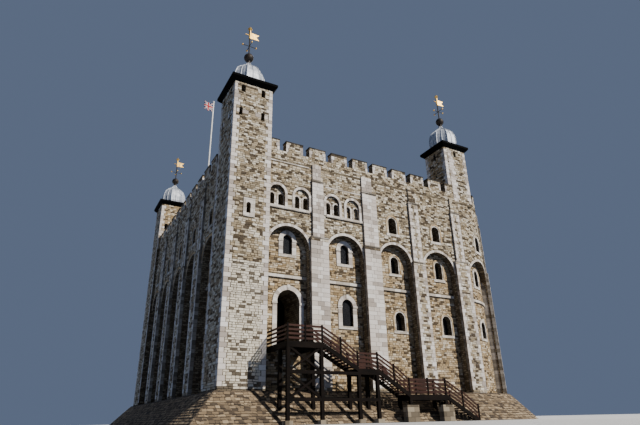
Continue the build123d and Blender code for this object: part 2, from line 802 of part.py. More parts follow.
def apse_strings():
    """String course round the apse, inside each recess."""
    face, top = apse_radius - recess_setback, string_foot + string_height
    spans = apse_spans()[0]
    return [apse_location * ring_sector(face, face + string_proud, a, b, string_foot, top) for a, b in spans]


def apse_parapet():
    """Curved parapet with merlons, from the turret round to the east side, and its copings."""
    inner = apse_wall_radius - parapet_thickness
    face = keep_width - upper_setback
    keep_out = joined(block(0, keep_width, 0, apse_y, 0, vane_tip),
                      block(0, face, apse_y, keep_depth, 0, vane_tip))
    wall = apse_location * ring_sector(inner, apse_wall_radius, 1, 179, wall_top, crenel_floor) - keep_out
    count = round(math.pi * apse_wall_radius / merlon_pitch)
    pitch = 180 / count
    width = pitch * merlon_width / merlon_pitch
    lip = math.degrees(coping_lip / apse_wall_radius)
    stones = []
    for k in range(1, count):
        left = (k - 0.5) * pitch + (pitch - width) / 2
        if not apse_first_merlon() < left < apse_end - width:
            continue
        wall += apse_location * ring_sector(inner, apse_wall_radius, left, left + width, crenel_floor,
                                            merlon_top)
        stones.append(apse_location * ring_sector(inner - coping_lip, apse_wall_radius + coping_lip,
                                                  left - lip, left + width + lip,
                                                  merlon_top, merlon_top + coping_height))
    return one_solid(wall), stones


def apse_first_merlon():
    """Smallest angle at which a whole merlon clears the turret beside the chapel."""
    inner = apse_wall_radius - parapet_thickness - coping_lip
    return math.degrees(math.asin((keep_width - apse_x) / inner)) + math.degrees(coping_lip / inner)


def apse_walls():
    """The apse's bays and the plain masonry that bonds it into the east wall."""
    walls = [apse_location * apse_bay(a, b) for a, b in apse_spans()[0]]
    end = ring_sector(apse_inner_radius, apse_wall_radius, apse_end, 180, wall_foot, wall_top)
    i, face, inside = wall_inner, keep_width - upper_setback, apse_y + apse_inner_radius
    shoulder = block(keep_width - i, face, inside, apse_north, wall_foot, wall_top)
    shoulder -= apse_location * ring_sector(OVER, apse_wall_radius, 0, 180, 0, turret_top)
    bond = joined(apse_location * end, *shoulder.solids())
    walls.append(one_solid(bond & block(0, keep_width, 0, apse_north, 0, turret_top)))
    return walls


def north_walls():
    """North bays, cut back where the side walls run into them."""
    i, w = wall_inner, keep_width
    side_end = keep_depth - rear_turret_side
    walls = []
    for wall in north.put([bay_wall(*bay) for bay in north.bays]):
        wall -= block(0, i, 0, side_end, 0, turret_top)
        wall -= block(w - i, w, 0, side_end, 0, turret_top)
        walls.append(one_solid(wall))
    return walls


def storeys(walls):
    """Walls parted at the gallery floor: what stands below it, and the gallery's own walls."""
    reach = keep_width + keep_depth
    lower = block(-reach, reach, -reach, reach, 0, gallery_floor_top)
    return [one_solid(wall & lower) for wall in walls], [one_solid(wall - lower) for wall in walls]


def floor_plate(top, thickness):
    """Floor over the whole inside, with the chapel's rounded end."""
    i, w, d = wall_inner, keep_width, keep_depth
    plate = block(i, w - i, i, d - i, top - thickness, top)
    plate += block(w - i - OVER, apse_x, i, apse_y + apse_inner_radius, top - thickness, top)
    round_end = disc(apse_inner_radius, top - thickness, top) & block(0, apse_radius, -apse_radius,
                                                                      apse_radius, 0, turret_top)
    return one_solid(plate + apse_location * round_end)


def lead_roof():
    """Lead roof of two low ridges between the wall walks."""
    i, w, d = wall_inner, keep_width, keep_depth
    quarter = (w - 2 * i) / 4
    heights = (roof_eaves, roof_ridge, roof_eaves, roof_ridge, roof_eaves)
    upper = [(i + k * quarter, z) for k, z in enumerate(heights)]
    lower = [(x, z - roof_thickness) for x, z in reversed(upper)]
    return side_profile(upper + lower, i, d - i)


def chapel_roof():
    """Flat lead roof over the chapel's rounded end."""
    i, w = wall_inner, keep_width
    round_end = disc(apse_inner_radius, roof_eaves - roof_thickness, roof_eaves)
    round_end = round_end & block(0, apse_radius, -apse_radius, apse_radius, 0, turret_top)
    flat = block(w - i, apse_x, i, apse_y + apse_inner_radius, roof_eaves - roof_thickness, roof_eaves)
    return one_solid(flat + apse_location * round_end)


stair_inner = stair_outer + stair_width
inner_post = stair_inner - post_size


def flight(k):
    """Ends, rise and going of a flight: x0, z0, x1, z1, rise, going."""
    last = k == len(landing_levels) - 1
    x0, z0 = landing_ends[k], landing_levels[k]
    x1, z1 = (stair_foot, 0.0) if last else (landing_starts[k + 1], landing_levels[k + 1])
    risers = flight_risers[k]
    return x0, z0, x1, z1, (z0 - z1) / risers, (x1 - x0) / (risers - 1)


def scribed(shape, base):
    """A timber cut to the slope of the battered base."""
    return max((shape - base).solids(), key=lambda solid: solid.volume)


def treads(base):
    """Every tread of the three flights."""
    boards = []
    for k, risers in enumerate(flight_risers):
        x0, z0, _, _, rise, going = flight(k)
        for n in range(1, risers):
            top, left = z0 - n * rise, x0 + (n - 1) * going
            board = block(left, left + going, stair_outer + stringer_width, stair_inner - stringer_width,
                          top - tread_thickness, top)
            boards.append(scribed(board, base))
    return boards


def stringers(base):
    """Sloping side boards of the three flights."""
    boards = []
    for k in range(len(flight_risers)):
        x0, z0, x1, z1, rise, _ = flight(k)
        foot = max(z1 + rise - stringer_depth, 0.0)
        outline = [(x0, z0), (x1, z1 + rise), (x1, foot), (x0, z0 - stringer_depth)]
        if foot == 0.0:
            slope = (z1 + rise - z0) / (x1 - x0)
            outline.insert(3, (x0 + (stringer_depth - z0) / slope, 0.0))
        for y in (stair_outer, stair_inner - stringer_width):
            boards.append(scribed(side_profile(outline, y, y + stringer_width), base))
    return boards


def landing_decks():
    """Boarded decks; the top one reaches the wall under the doorway."""
    decks = []
    for k, level in enumerate(landing_levels):
        back = recess_setback if k == 0 else stair_inner
        decks.append(block(landing_starts[k], landing_ends[k], stair_outer, back, level - deck_thickness,
                           level))
    return decks


def landing_frames():
    """Bearers and edge beams under each deck."""
    frames = []
    for k, level in enumerate(landing_levels):
        top = level - deck_thickness
        back = recess_setback if k == 0 else stair_inner
        start, end = landing_starts[k], landing_ends[k]
        beams = [block(x, x + post_size, stair_outer, back, top - beam_height, top)
                 for x in (start, end - post_size)]
        beams += [block(start, end, y, y + post_size, top - beam_height, top)
                  for y in (stair_outer, inner_post)]
        frames.append(one_solid(joined(*beams)))
    return frames


def trestle_posts(base):
    """Square posts under the landings; the inner ones stand on the battered base."""
    posts = []
    for k, level in enumerate(landing_levels):
        head = level - deck_thickness - beam_height
        for x in (landing_starts[k], landing_ends[k] - post_size):
            posts.append(block(x, x + post_size, stair_outer, stair_outer + post_size, footing_heights[k],
                               head))
            posts.append(scribed(block(x, x + post_size, inner_post, stair_inner, 0, head), base))
    return posts


def footings():
    """Stone blocks under the outer posts."""
    blocks = []
    for k in range(len(landing_levels)):
        for x in (landing_starts[k], landing_ends[k] - post_size):
            middle, front = x + post_size / 2, stair_outer + (post_size - footing_depth) / 2
            half = footing_widths[k] / 2
            blocks.append(block(middle - half, middle + half, front, front + footing_depth, 0,
                                footing_heights[k]))
    return blocks


def trestle_ties():
    """Level timbers between the outer posts."""
    posts = [x for k in range(2) for x in (landing_starts[k], landing_ends[k] - post_size)]
    ties = []
    for level, reach in zip(tie_levels, (3, 4)):
        for left, right in zip(posts[:reach - 1], posts[1:reach]):
            ties.append(block(left + post_size, right, stair_outer, stair_outer + post_size,
                              level - tie_height / 2, level + tie_height / 2))
    return ties


def cross_brace(x0, x1, z0, z1):
    """Two crossed timbers in one panel of the trestle."""
    length = math.hypot(x1 - x0, z1 - z0)
    lean = math.degrees(math.atan2(z1 - z0, x1 - x0))
    middle = Pos((x0 + x1) / 2, stair_outer + post_size / 2, (z0 + z1) / 2)
    pair = joined(*[middle * Rot(0, turn, 0) * Box(2 * length, brace_size, brace_size)
                    for turn in (lean, -lean)])
    return one_solid(pair & block(x0, x1, stair_outer, stair_outer + post_size, z0, z1))


def trestle_braces():
    """Crossed timbers under the top landing."""
    x0, x1 = landing_starts[0] + post_size, landing_ends[0] - post_size
    head = landing_levels[0] - deck_thickness - beam_height
    half = tie_height / 2
    high, low = tie_levels
    return [cross_brace(x0, x1, high + half, head), cross_brace(x0, x1, low + half, high - half)]


def stations():
    """Rail posts from the top landing down: left edge, foot, and the level at which the rails reach it."""
    found = []
    arrival = landing_levels[0]
    for k, level in enumerate(landing_levels):
        start, end = landing_starts[k], landing_ends[k] - stringer_width
        found.append((start, level, arrival))
        if k != 1:
            found.append(((start + end) / 2, level, level))
        found.append((end, level, level))
        x0, z0, x1, z1, rise, _ = flight(k)
        middle = (z0 + z1 + rise) / 2
        found.append(((x0 + x1) / 2, middle, middle))
        arrival = z1 + rise / 4
    found.append((stair_foot, 0.0, arrival))
    return found


def rail_lines():
    """Each side's y and its stations; the inner rail starts at the head of the first flight."""
    return ((stair_outer, stations()), (stair_inner - stringer_width, stations()[2:-1]))


def rail_posts(base):
    """Posts of the railings, on the decks and the side boards."""
    posts = []
    for y, places in rail_lines():
        for x, z, _ in places:
            right = x + stringer_width
            slope = 0.0
            for x0, z0, x1, z1, rise, _ in map(flight, range(len(flight_risers))):
                if x0 < x < x1:
                    slope = (z1 + rise - z0) / (x1 - x0)
            top = z + rail_height + rail_post_head
            outline = [(x, z), (right, z + slope * stringer_width), (right, top), (x, top)]
            posts.append(scribed(side_profile(outline, y, y + stringer_width), base))
    return posts


def rails(base):
    """Rail boards between neighbouring posts."""
    boards = []
    inset = (stringer_width - rail_thickness) / 2
    pitch = rail_height / rail_count
    for y, places in rail_lines():
        for (x0, z0, _), (x1, _, z1) in zip(places, places[1:]):
            left = x0 + stringer_width
            for n in range(rail_count):
                high = (n + 1) * pitch
                low = high - rail_depth
                outline = [(left, z0 + low), (x1, z1 + low), (x1, z1 + high), (left, z0 + high)]
                boards.append(scribed(side_profile(outline, y + inset, y + inset + rail_thickness), base))
    return boards


def end_rails():
    """Rail boards across the top landing's two ends, back to the wall or the doorway's dressed stone."""
    inset = (stringer_width - rail_thickness) / 2
    pitch = rail_height / rail_count
    ends = (
        (landing_starts[0], stair_outer + stringer_width, recess_setback),
        (landing_ends[0] - stringer_width, stair_inner, recess_setback - band_proud),
    )
    boards = []
    for x, front, back in ends:
        left, right = x + inset, x + inset + rail_thickness
        for n in range(rail_count):
            low = landing_levels[0] + (n + 1) * pitch - rail_depth
            boards.append(block(left, right, front, back, low, low + rail_depth))
    return boards


def flagpole():
    """White pole on the west wall's walk, with a button on its head."""
    pole = disc(flagpole_radius, wall_top, flagpole_top)
    pole += Pos(0, 0, flagpole_top) * Sphere(1.6 * flagpole_radius)
    half = flagpole_foot_side / 2
    pole += block(-half, half, -half, half, wall_top, wall_top + flagpole_foot_height)
    return Pos(flagpole_x, flagpole_y) * one_solid(pole)


def flag():
    """Flag that waves away from the head of the pole."""
    top = flagpole_top - flag_drop
    reach = flag_fly / 6
    half = flag_thickness / 2
    bends = []
    for k in range(19):
        turn = math.pi * k / 6
        bends.append((flagpole_radius + reach * k / 3, min(k / 6, 1) * flag_wave * math.sin(turn)))
    front = [(x, y + half, top) for x, y in bends]
    back = [(x, y - half, top) for x, y in reversed(bends)]
    outline = Wire.make_polygon([*front, *back], close=True)
    cloth = Solid.extrude(Face(outline), Vector(0, 0, -flag_hoist))
    return Pos(flagpole_x, flagpole_y) * Rot(0, 0, flag_bearing) * cloth


def build():
    """Every node of the keep as a list of solids, measured from the south-west corner."""
    nodes = {name: [base] for name, base in plinths().items()}
    base = nodes["plinth_south"][0]
    walls = {name: SIDES[name].put([bay_wall(*bay) for bay in SIDES[name].bays])
             for name in ("south", "west", "east")}
    walls["north"] = north_walls()
    walls["apse"] = apse_walls()
    for name, solids in walls.items():
        nodes[f"{name}_walls"], nodes[f"{name}_gallery_walls"] = storeys(solids)
    for name, side in SIDES.items():
        nodes[f"{name}_pilasters"] = side.put([pilaster(*p) for p in side.pilasters])
    nodes["apse_pilasters"] = [apse_location * apse_pilaster(a, b) for a, b in apse_spans()[1]]
    nodes["sw_turret"] = [sw_turret()]
    for name, x in (("nw", 0), ("ne", keep_width - rear_turret_side)):
        nodes[f"{name}_turret"] = [rear_turret(x)]
        nodes[f"{name}_turret_head"] = [rear_turret_head(x)]
    nodes["se_turret"] = [se_turret()]
    nodes["turret_eaves"] = [eaves(name) for name in TURRETS]
    nodes["turret_cupolas"] = [cupola(name) for name in TURRETS]
    nodes["turret_finials"] = [finial(name) for name in TURRETS]
    for name in TURRETS:
        nodes[f"{name}_vane"] = [vane(name)]
    east_start = apse_y + math.sqrt(
        (apse_wall_radius - parapet_thickness) ** 2 - (keep_width - upper_setback - apse_x) ** 2)
    runs = {
        "south": (sw_turret_width, keep_width - se_turret_side),
        "west": (west.start, west.end),
        "north": (north.start, north.end),
        "east": (east_start, east.end),
    }
    curved, stones = apse_parapet()
    nodes["parapets"] = [wall for name, run in runs.items() for wall in SIDES[name].put([parapet(*run)])]
    nodes["apse_parapet"] = [curved]
    nodes["merlon_copings"] = [stone for name, run in runs.items()
                               for stone in SIDES[name].put(copings(*run))] + stones
    rings = [ring for side in SIDES.values()
             for ring in side.put([arch_ring(a, b) for a, b, _, _ in side.bays])]
    nodes["blind_arch_rings"] = rings + apse_rings()
    nodes["front_window_surrounds"] = side_surrounds(south) + [slit_surround()]
    others = [frame for side in (west, north, east) for frame in side_surrounds(side)]
    nodes["other_window_surrounds"] = others + apse_surrounds()
    nodes["string_courses"] = [band for side in SIDES.values()
                               for band in side_strings(side)] + apse_strings()
    nodes["window_glass"] = [pane for side in SIDES.values() for pane in side_panes(side)] + apse_panes()
    nodes["ground_slab"] = [floor_plate(ground_slab_top, ground_slab_top)]
    nodes["entrance_floor"] = [floor_plate(entrance_floor_top, floor_thickness)]
    nodes["upper_floor"] = [floor_plate(upper_floor_top, floor_thickness)]
    nodes["gallery_floor"] = [floor_plate(gallery_floor_top, floor_thickness)]
    nodes["lead_roof"] = [lead_roof()]
    nodes["chapel_roof"] = [chapel_roof()]
    nodes["stair_treads"] = treads(base)
    nodes["stair_stringers"] = stringers(base)
    nodes["stair_decks"] = landing_decks()
    nodes["landing_frames"] = landing_frames()
    nodes["trestle_posts"] = trestle_posts(base)
    nodes["trestle_ties"] = trestle_ties()
    nodes["trestle_braces"] = trestle_braces()
    nodes["stair_footings"] = footings()
    nodes["rail_posts"] = rail_posts(base)
    nodes["stair_rails"] = rails(base) + end_rails()
    nodes["flagpole"] = [flagpole()]
    nodes["flag"] = [flag()]
    return nodes


def main():
    """Writes one STEP file for each node, moved so that the origin is the plan's centre."""
    os.makedirs("parts", exist_ok=True)
    for name, solids in build().items():
        placed = [to_centre * solid for solid in solids]
        shape = placed[0] if len(placed) == 1 else Compound(children=placed)
        export_step(shape, f"parts/{name}.step")


main()
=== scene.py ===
import math

import bpy
import numpy as np
from mathutils import Matrix, Vector
from mathutils.bvhtree import BVHTree


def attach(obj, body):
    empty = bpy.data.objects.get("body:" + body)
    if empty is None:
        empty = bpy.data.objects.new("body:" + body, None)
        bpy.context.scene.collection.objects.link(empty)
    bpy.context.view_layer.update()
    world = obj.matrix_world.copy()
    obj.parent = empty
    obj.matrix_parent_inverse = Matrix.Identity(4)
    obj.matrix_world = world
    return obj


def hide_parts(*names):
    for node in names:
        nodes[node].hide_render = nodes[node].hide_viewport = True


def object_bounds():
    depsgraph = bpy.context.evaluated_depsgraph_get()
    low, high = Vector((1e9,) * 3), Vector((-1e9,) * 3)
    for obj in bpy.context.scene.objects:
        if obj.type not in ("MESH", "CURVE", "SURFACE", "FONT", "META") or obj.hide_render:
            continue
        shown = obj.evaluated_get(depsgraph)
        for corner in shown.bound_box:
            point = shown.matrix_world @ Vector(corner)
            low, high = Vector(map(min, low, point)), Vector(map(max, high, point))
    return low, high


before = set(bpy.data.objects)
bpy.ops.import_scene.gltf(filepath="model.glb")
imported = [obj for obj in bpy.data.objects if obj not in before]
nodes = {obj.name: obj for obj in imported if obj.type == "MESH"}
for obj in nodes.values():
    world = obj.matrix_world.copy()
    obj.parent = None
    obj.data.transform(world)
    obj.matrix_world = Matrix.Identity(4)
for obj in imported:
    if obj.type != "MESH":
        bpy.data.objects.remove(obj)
cad_low, cad_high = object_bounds()
scene = bpy.context.scene
chance = np.random.default_rng(1078)

# The keep is drawn at a tenth of its real size; REAL turns real metres into the model's.
REAL = 0.1
WIDTH, DEPTH = 29.9, 36.07
CENTRE_X, CENTRE_Y = WIDTH / 2, DEPTH / 2

# Camera: where it stands, the way it looks and its lens, solved from the edges of the walls
CAMERA_PLACE = (-2.6449, -5.4837, 0.029)
CAMERA_YAW, CAMERA_PITCH, CAMERA_ROLL = 29.14, 23.245, -1.179
CAMERA_LENS = 27.195


def make_camera():
    """Camera whose axes come from yaw, pitch and roll: forward, right and up as three unit vectors."""
    yaw, pitch, roll = (math.radians(a) for a in (CAMERA_YAW, CAMERA_PITCH, CAMERA_ROLL))
    forward = Vector((math.sin(yaw) * math.cos(pitch), math.cos(yaw) * math.cos(pitch), math.sin(pitch)))
    level = Vector((math.cos(yaw), -math.sin(yaw), 0))
    rise = level.cross(forward)
    right = level * math.cos(roll) + rise * math.sin(roll)
    up = rise * math.cos(roll) - level * math.sin(roll)
    data = bpy.data.cameras.new("camera")
    data.lens, data.sensor_width, data.clip_start, data.clip_end = CAMERA_LENS, 36, 0.01, 200
    camera = bpy.data.objects.new("camera", data)
    turn = Matrix((right, up, -forward)).transposed().to_4x4()
    camera.matrix_world = Matrix.Translation(CAMERA_PLACE) @ turn
    scene.collection.objects.link(camera)
    scene.camera = camera


make_camera()


def srgb(red, green, blue):
    """Linear colour of a screen colour given from 0 to 255."""
    def linear(c):
        c = c / 255
        return c / 12.92 if c <= 0.04045 else ((c + 0.055) / 1.055) ** 2.4
    return (linear(red), linear(green), linear(blue), 1.0)


class Field:
    """A value that varies over a surface; arithmetic on fields adds Math nodes."""

    def __init__(self, shader, socket):
        self.shader = shader
        self.socket = socket

    def combine(self, operation, first, second=0.0):
        made = self.shader.node("ShaderNodeMath", {"operation": operation}, {0: first, 1: second})
        return Field(self.shader, made.outputs[0])

    def __add__(self, other):
        return self.combine("ADD", self, other)

    def __sub__(self, other):
        return self.combine("SUBTRACT", self, other)

    def __rsub__(self, other):
        return self.combine("SUBTRACT", other, self)

    def __mul__(self, other):
        return self.combine("MULTIPLY", self, other)

    def __lt__(self, other):
        return self.combine("LESS_THAN", self, other)

    def __gt__(self, other):
        return self.combine("GREATER_THAN", self, other)

    def __abs__(self):
        return self.combine("ABSOLUTE", self)

    def smallest(self, other):
        return self.combine("MINIMUM", self, other)

    def largest(self, other):
        return self.combine("MAXIMUM", self, other)

    def part(self):
        return self.combine("FRACT", self)

    __radd__ = __add__
    __rmul__ = __mul__


class Shader:
    """One material, its nodes, and its principled surface."""

    def __init__(self, name):
        self.material = bpy.data.materials.new(name)
        self.material.use_nodes = True
        self.tree = self.material.node_tree
        self.surface = self.tree.nodes["Principled BSDF"]
        self.place = self.node("ShaderNodeTexCoord").outputs["Object"]

    def node(self, kind, settings=None, inputs=None):
        """A node of any kind: its settings first, then the values or links of its sockets."""
        made = self.tree.nodes.new(kind)
        for name, value in (settings or {}).items():
            setattr(made, name, value)
        for name, value in (inputs or {}).items():
            link = value.socket if isinstance(value, Field) else value
            if isinstance(link, bpy.types.NodeSocket):
                self.tree.links.new(link, made.inputs[name])
            else:
                made.inputs[name].default_value = link
        return made

    def scaled(self, scales):
        """Object coordinates multiplied along each axis."""
        made = self.node("ShaderNodeVectorMath", {"operation": "MULTIPLY"}, {0: self.place, 1: scales})
        return made.outputs[0]

    def axis(self, name):
        """One of the object coordinates, in metres."""
        return Field(self, self.node("ShaderNodeSeparateXYZ", None, {0: self.place}).outputs[name])

    def noise(self, scales, detail=3.0, rough=0.6):
        """Soft noise from 0 to 1 with so many cells a metre along each axis."""
        inputs = {"Vector": self.scaled(scales), "Scale": 1.0, "Detail": detail, "Roughness": rough}
        return Field(self, self.node("ShaderNodeTexNoise", None, inputs).outputs["Fac"])

    def attribute(self, name):
        """A value stored on the mesh."""
        made = self.node("ShaderNodeAttribute", {"attribute_name": name})
        return Field(self, made.outputs["Fac"])

    def courses(self, length, height, joint, waver=0.0):
        """Blocks in courses on an upright face: each block's own value, and 0 in a joint to 1 on a block."""
        across = self.axis("X") + self.axis("Y")
        level = self.axis("Z")
        if waver:
            across = across + (self.noise(WAVER_ALONG, 2) - 0.5) * waver
            level = level + (self.noise(WAVER_UP, 2) - 0.5) * waver
        flat = self.node("ShaderNodeCombineXYZ", None, {"X": across, "Y": level})
        inputs = {
            "Vector": flat.outputs[0], "Scale": 1.0,
            "Color1": (0, 0, 0, 1), "Color2": (1, 1, 1, 1), "Mortar": (0.5, 0.5, 0.5, 1),
            "Brick Width": length, "Row Height": height, "Mortar Size": joint, "Mortar Smooth": 0.3,
        }
        made = self.node("ShaderNodeTexBrick", None, inputs)
        tone = self.node("ShaderNodeSeparateColor", None, {0: made.outputs["Color"]}).outputs[0]
        return Field(self, tone), 1.0 - Field(self, made.outputs["Fac"])

    def spread(self, value, low, high):
        """Value moved so that low becomes 0 and high becomes 1, held between them."""
        made = self.node("ShaderNodeMapRange", None, {0: value, 1: low, 2: high})
        return Field(self, made.outputs[0])

    def mix(self, share, first, second):
        """Colour that goes from first to second with share."""
        made = self.node("ShaderNodeMix", {"data_type": "RGBA"}, {0: share, 6: first, 7: second})
        return Field(self, made.outputs[2])

    def finish(self, color, rough, height=None, depth=0.001, **plain):
        """Connects colour, roughness and relief, and sets what is the same all over."""
        values = {"Base Color": color, "Roughness": rough, **plain}
        if height is not None:
            relief = self.node("ShaderNodeBump", None, {"Height": height, "Distance": depth, "Strength": 1.0})
            values["Normal"] = relief.outputs["Normal"]
        for name, value in values.items():
            link = value.socket if isinstance(value, Field) else value
            if isinstance(link, bpy.types.NodeSocket):
                self.tree.links.new(link, self.surface.inputs[name])
            else:
                self.surface.inputs[name].default_value = link
        return self.material


# Sizes of the noise patterns: cells in a metre of the model along each axis
WAVER_ALONG, WAVER_UP = (28, 28, 40), (36, 36, 30)
BASE_PITS, BASE_STREAKS = (260, 260, 260), (16, 16, 1.6)
BLOCK_PITS, BLOCK_STREAKS, BLOCK_PATCHES = (300, 300, 420), (14, 14, 1.3), (5, 5, 5)
GRAIN_ALONG, GRAIN_ACROSS, BOARD_CHANGES = 18, 330, (9, 14, 22)
METAL_RUNS, LEAD_CLOUDS, LEAD_RUNS = (90, 90, 7), (30, 30, 18), (120, 120, 8)
ROOF_CLOUDS, ROOF_STAINS = (14, 14, 14), (4, 30, 30)
GLASS_WAVES, CLOTH_WEAVE = (45, 45, 45), (900, 900, 900)

STREAK_COLOR = srgb(92, 84, 74)
PALE_SHARE, DARK_STONES = 0.72, 0.2
ROLL_SPACING, DRIP_SPACING = 0.07, 0.24


def masonry_finish(name, dark, middle, light, joint, size, waver=0.0):
    """Stonework in courses: blocks of three colours with recessed joints, pitted faces and rain streaks."""
    s = Shader(name)
    tone, gap = s.courses(*size, waver)
    blocks = s.mix(s.spread(tone, 0.45, 0.85), s.mix(s.spread(tone, 0.1, 0.5), dark, middle), light)
    grain = s.noise(BASE_PITS, 4)
    blocks = s.mix(s.spread(grain, 0.35, 0.75) * 0.35, blocks, dark)
    color = s.mix(gap, joint, blocks)
    streak = s.spread(s.noise(BASE_STREAKS, 4), 0.52, 0.78) * 0.45
    color = s.mix(streak, color, dark)
    height = gap * 0.7 + grain * 0.3
    return s.finish(color, 0.92, height, 0.0025)


def block_finish(name, dark, middle, light, warm, streaks=0.4):
    """Separate blocks: each has its own tone, warmer in the recesses, with pitted faces and rain streaks."""
    s = Shader(name)
    tone = s.attribute("tone")
    warmth = s.attribute("warmth")
    color = s.mix(s.spread(tone, 0.5, 1.0), s.mix(s.spread(tone, 0.0, 0.45), dark, middle), light)
    patch = s.spread(s.noise(BLOCK_PATCHES, 4), 0.4, 0.7)
    color = s.mix((warmth.largest(0.0) * 0.42 + patch * 0.2).smallest(1.0), color, warm)
    color = s.mix((0.0 - warmth).largest(0.0) * PALE_SHARE, color, light)
    color = s.mix(s.spread(tone, 0.86, 1.0) * 0.6, color, light)
    color = s.mix(s.spread(DARK_STONES - tone, 0.0, 0.05) * 0.9, color, dark)
    grain = s.noise(BLOCK_PITS, 5, 0.7)
    color = s.mix(s.spread(grain, 0.45, 0.8) * 0.45, color, dark)
    streak = s.spread(s.noise(BLOCK_STREAKS, 5), 0.5, 0.8) * streaks
    color = s.mix(streak, color, STREAK_COLOR)
    return s.finish(color, s.spread(grain, 0.0, 1.0) * 0.1 + 0.84, grain, 0.0016)


def timber_finish(name, dark, light, along, rough=0.62, shine=0.2):
    """Stained timber, with painted shade in the near-black colours given for the stair: grain drawn out along
    the boards, with a slow change from board to board.
    """
    s = Shader(name)
    grain = s.noise(tuple(GRAIN_ALONG if a == along else GRAIN_ACROSS for a in "xyz"), 5, 0.65)
    board = s.noise(BOARD_CHANGES, 2)
    color = s.mix(s.spread(grain * 0.6 + board * 0.4, 0.35, 0.65), dark, light)
    values = {"Specular IOR Level": shine}
    return s.finish(color, s.spread(grain, 0.2, 0.9) * 0.2 + rough, grain, 0.0006, **values)


def metal_finish(name, dark, light, rough, metallic, scale=60, depth=0.0006):
    """Weathered metal with soft mottling."""
    s = Shader(name)
    cloud = s.noise((scale, scale, scale * 0.5), 5)
    run = s.noise(METAL_RUNS, 4)
    color = s.mix(s.spread(cloud * 0.5 + run * 0.5, 0.38, 0.62), dark, light)
    return s.finish(color, s.spread(cloud, 0.3, 0.7) * 0.2 + rough, cloud, depth, Metallic=metallic)


def glass_finish():
    """Dark old glass: uneven, nearly black, with a blue cast."""
    s = Shader("leaded_glass")
    wave = s.noise(GLASS_WAVES, 2)
    color = s.mix(wave, srgb(4, 5, 9), srgb(12, 15, 23))
    values = {"Specular IOR Level": 0.2}
    return s.finish(color, wave * 0.1 + 0.08, wave, 0.0004, **values)


def lead_finish():
    """Silvery lead of the cupolas: pale sheets and darker runs."""
    s = Shader("cupola_lead")
    cloud = s.noise(LEAD_CLOUDS, 5)
    run = s.noise(LEAD_RUNS, 4)
    color = s.mix(s.spread(cloud * 0.45 + run * 0.55, 0.36, 0.64), srgb(128, 136, 150), srgb(226, 230, 236))
    return s.finish(color, s.spread(run, 0.3, 0.7) * 0.2 + 0.4, cloud, 0.0008, Metallic=0.3)


def roof_finish():
    """Dull roof lead in sheets, with a raised roll at each side joint and a drip across at each end."""
    s = Shader("roof_lead")
    cloud = s.noise(ROOF_CLOUDS, 5)
    stain = s.noise(ROOF_STAINS, 4)
    roll = 1.0 - s.spread(abs((s.axis("Y") * (1 / ROLL_SPACING)).part() - 0.5), 0.0, 0.07)
    drip = 1.0 - s.spread(abs((s.axis("X") * (1 / DRIP_SPACING)).part() - 0.5), 0.0, 0.02)
    color = s.mix(s.spread(cloud * 0.5 + stain * 0.5, 0.35, 0.65), srgb(74, 78, 84), srgb(112, 116, 122))
    color = s.mix(roll.largest(drip) * 0.5, color, srgb(60, 63, 68))
    return s.finish(color, s.spread(cloud, 0.3, 0.7) * 0.2 + 0.6, roll + drip * 0.6, 0.006, Metallic=0.1)


def flag_finish():
    """Woven flag on the cloth's own map: a red cross edged in white, over diagonals on a dark blue field."""
    s = Shader("flag_cloth")
    across = s.node("ShaderNodeSeparateXYZ", None, {0: s.node("ShaderNodeTexCoord").outputs["UV"]})
    u, v = Field(s, across.outputs["X"]) - 0.5, Field(s, across.outputs["Y"]) - 0.5
    diagonal = abs(abs(u) - abs(v))
    upright = abs(u).smallest(abs(v))
    red, white, blue = srgb(176, 30, 42), srgb(232, 230, 226), srgb(28, 36, 88)
    color = s.mix(diagonal < 0.09, blue, white)
    color = s.mix(diagonal < 0.035, color, red)
    color = s.mix(upright < 0.15, color, white)
    color = s.mix(upright < 0.09, color, red)
    weave = s.noise(CLOTH_WEAVE, 2)
    return s.finish(color, 0.85, weave, 0.0003)


# Blocks under the separate stones: length, height and width of the joint, in metres of the model
RUBBLE_SIZE, ASHLAR_SIZE = (0.036, 0.0195, 0.0024), (0.075, 0.038, 0.001)
PLINTH_SIZE, COPING_SIZE = (0.045, 0.02, 0.0022), (0.09, 0.05, 0.001)

rubble_base = masonry_finish(
    "rubble_base", dark=srgb(84, 72, 54), middle=srgb(122, 108, 84), light=srgb(158, 146, 122),
    joint=srgb(66, 56, 42), size=RUBBLE_SIZE, waver=0.02)
pier_base = masonry_finish(
    "pier_base", dark=srgb(112, 104, 92), middle=srgb(150, 142, 130), light=srgb(186, 178, 168),
    joint=srgb(70, 62, 52), size=ASHLAR_SIZE)
plinth_base = masonry_finish(
    "plinth_base", dark=srgb(62, 52, 40), middle=srgb(104, 88, 68), light=srgb(136, 118, 94),
    joint=srgb(44, 36, 28), size=PLINTH_SIZE, waver=0.008)
rubble_blocks = block_finish(
    "rubble_blocks", dark=srgb(74, 61, 43), middle=srgb(182, 166, 137), light=srgb(246, 238, 219),
    warm=srgb(190, 156, 104))
plinth_blocks = block_finish(
    "plinth_blocks", dark=srgb(72, 60, 46), middle=srgb(132, 113, 87), light=srgb(178, 158, 128),
    warm=srgb(130, 106, 74))
dressed_blocks = block_finish(
    "dressed_blocks", dark=srgb(176, 165, 154), middle=srgb(226, 217, 208), light=srgb(250, 246, 240),
    warm=srgb(214, 196, 166), streaks=0.15)
golden_blocks = block_finish(
    "golden_blocks", dark=srgb(160, 132, 92), middle=srgb(208, 180, 134), light=srgb(230, 210, 170),
    warm=srgb(204, 166, 108), streaks=0.2)
dressed_base = masonry_finish(
    "dressed_base", dark=srgb(180, 170, 156), middle=srgb(216, 207, 194), light=srgb(240, 234, 224),
    joint=srgb(120, 108, 92), size=ASHLAR_SIZE)
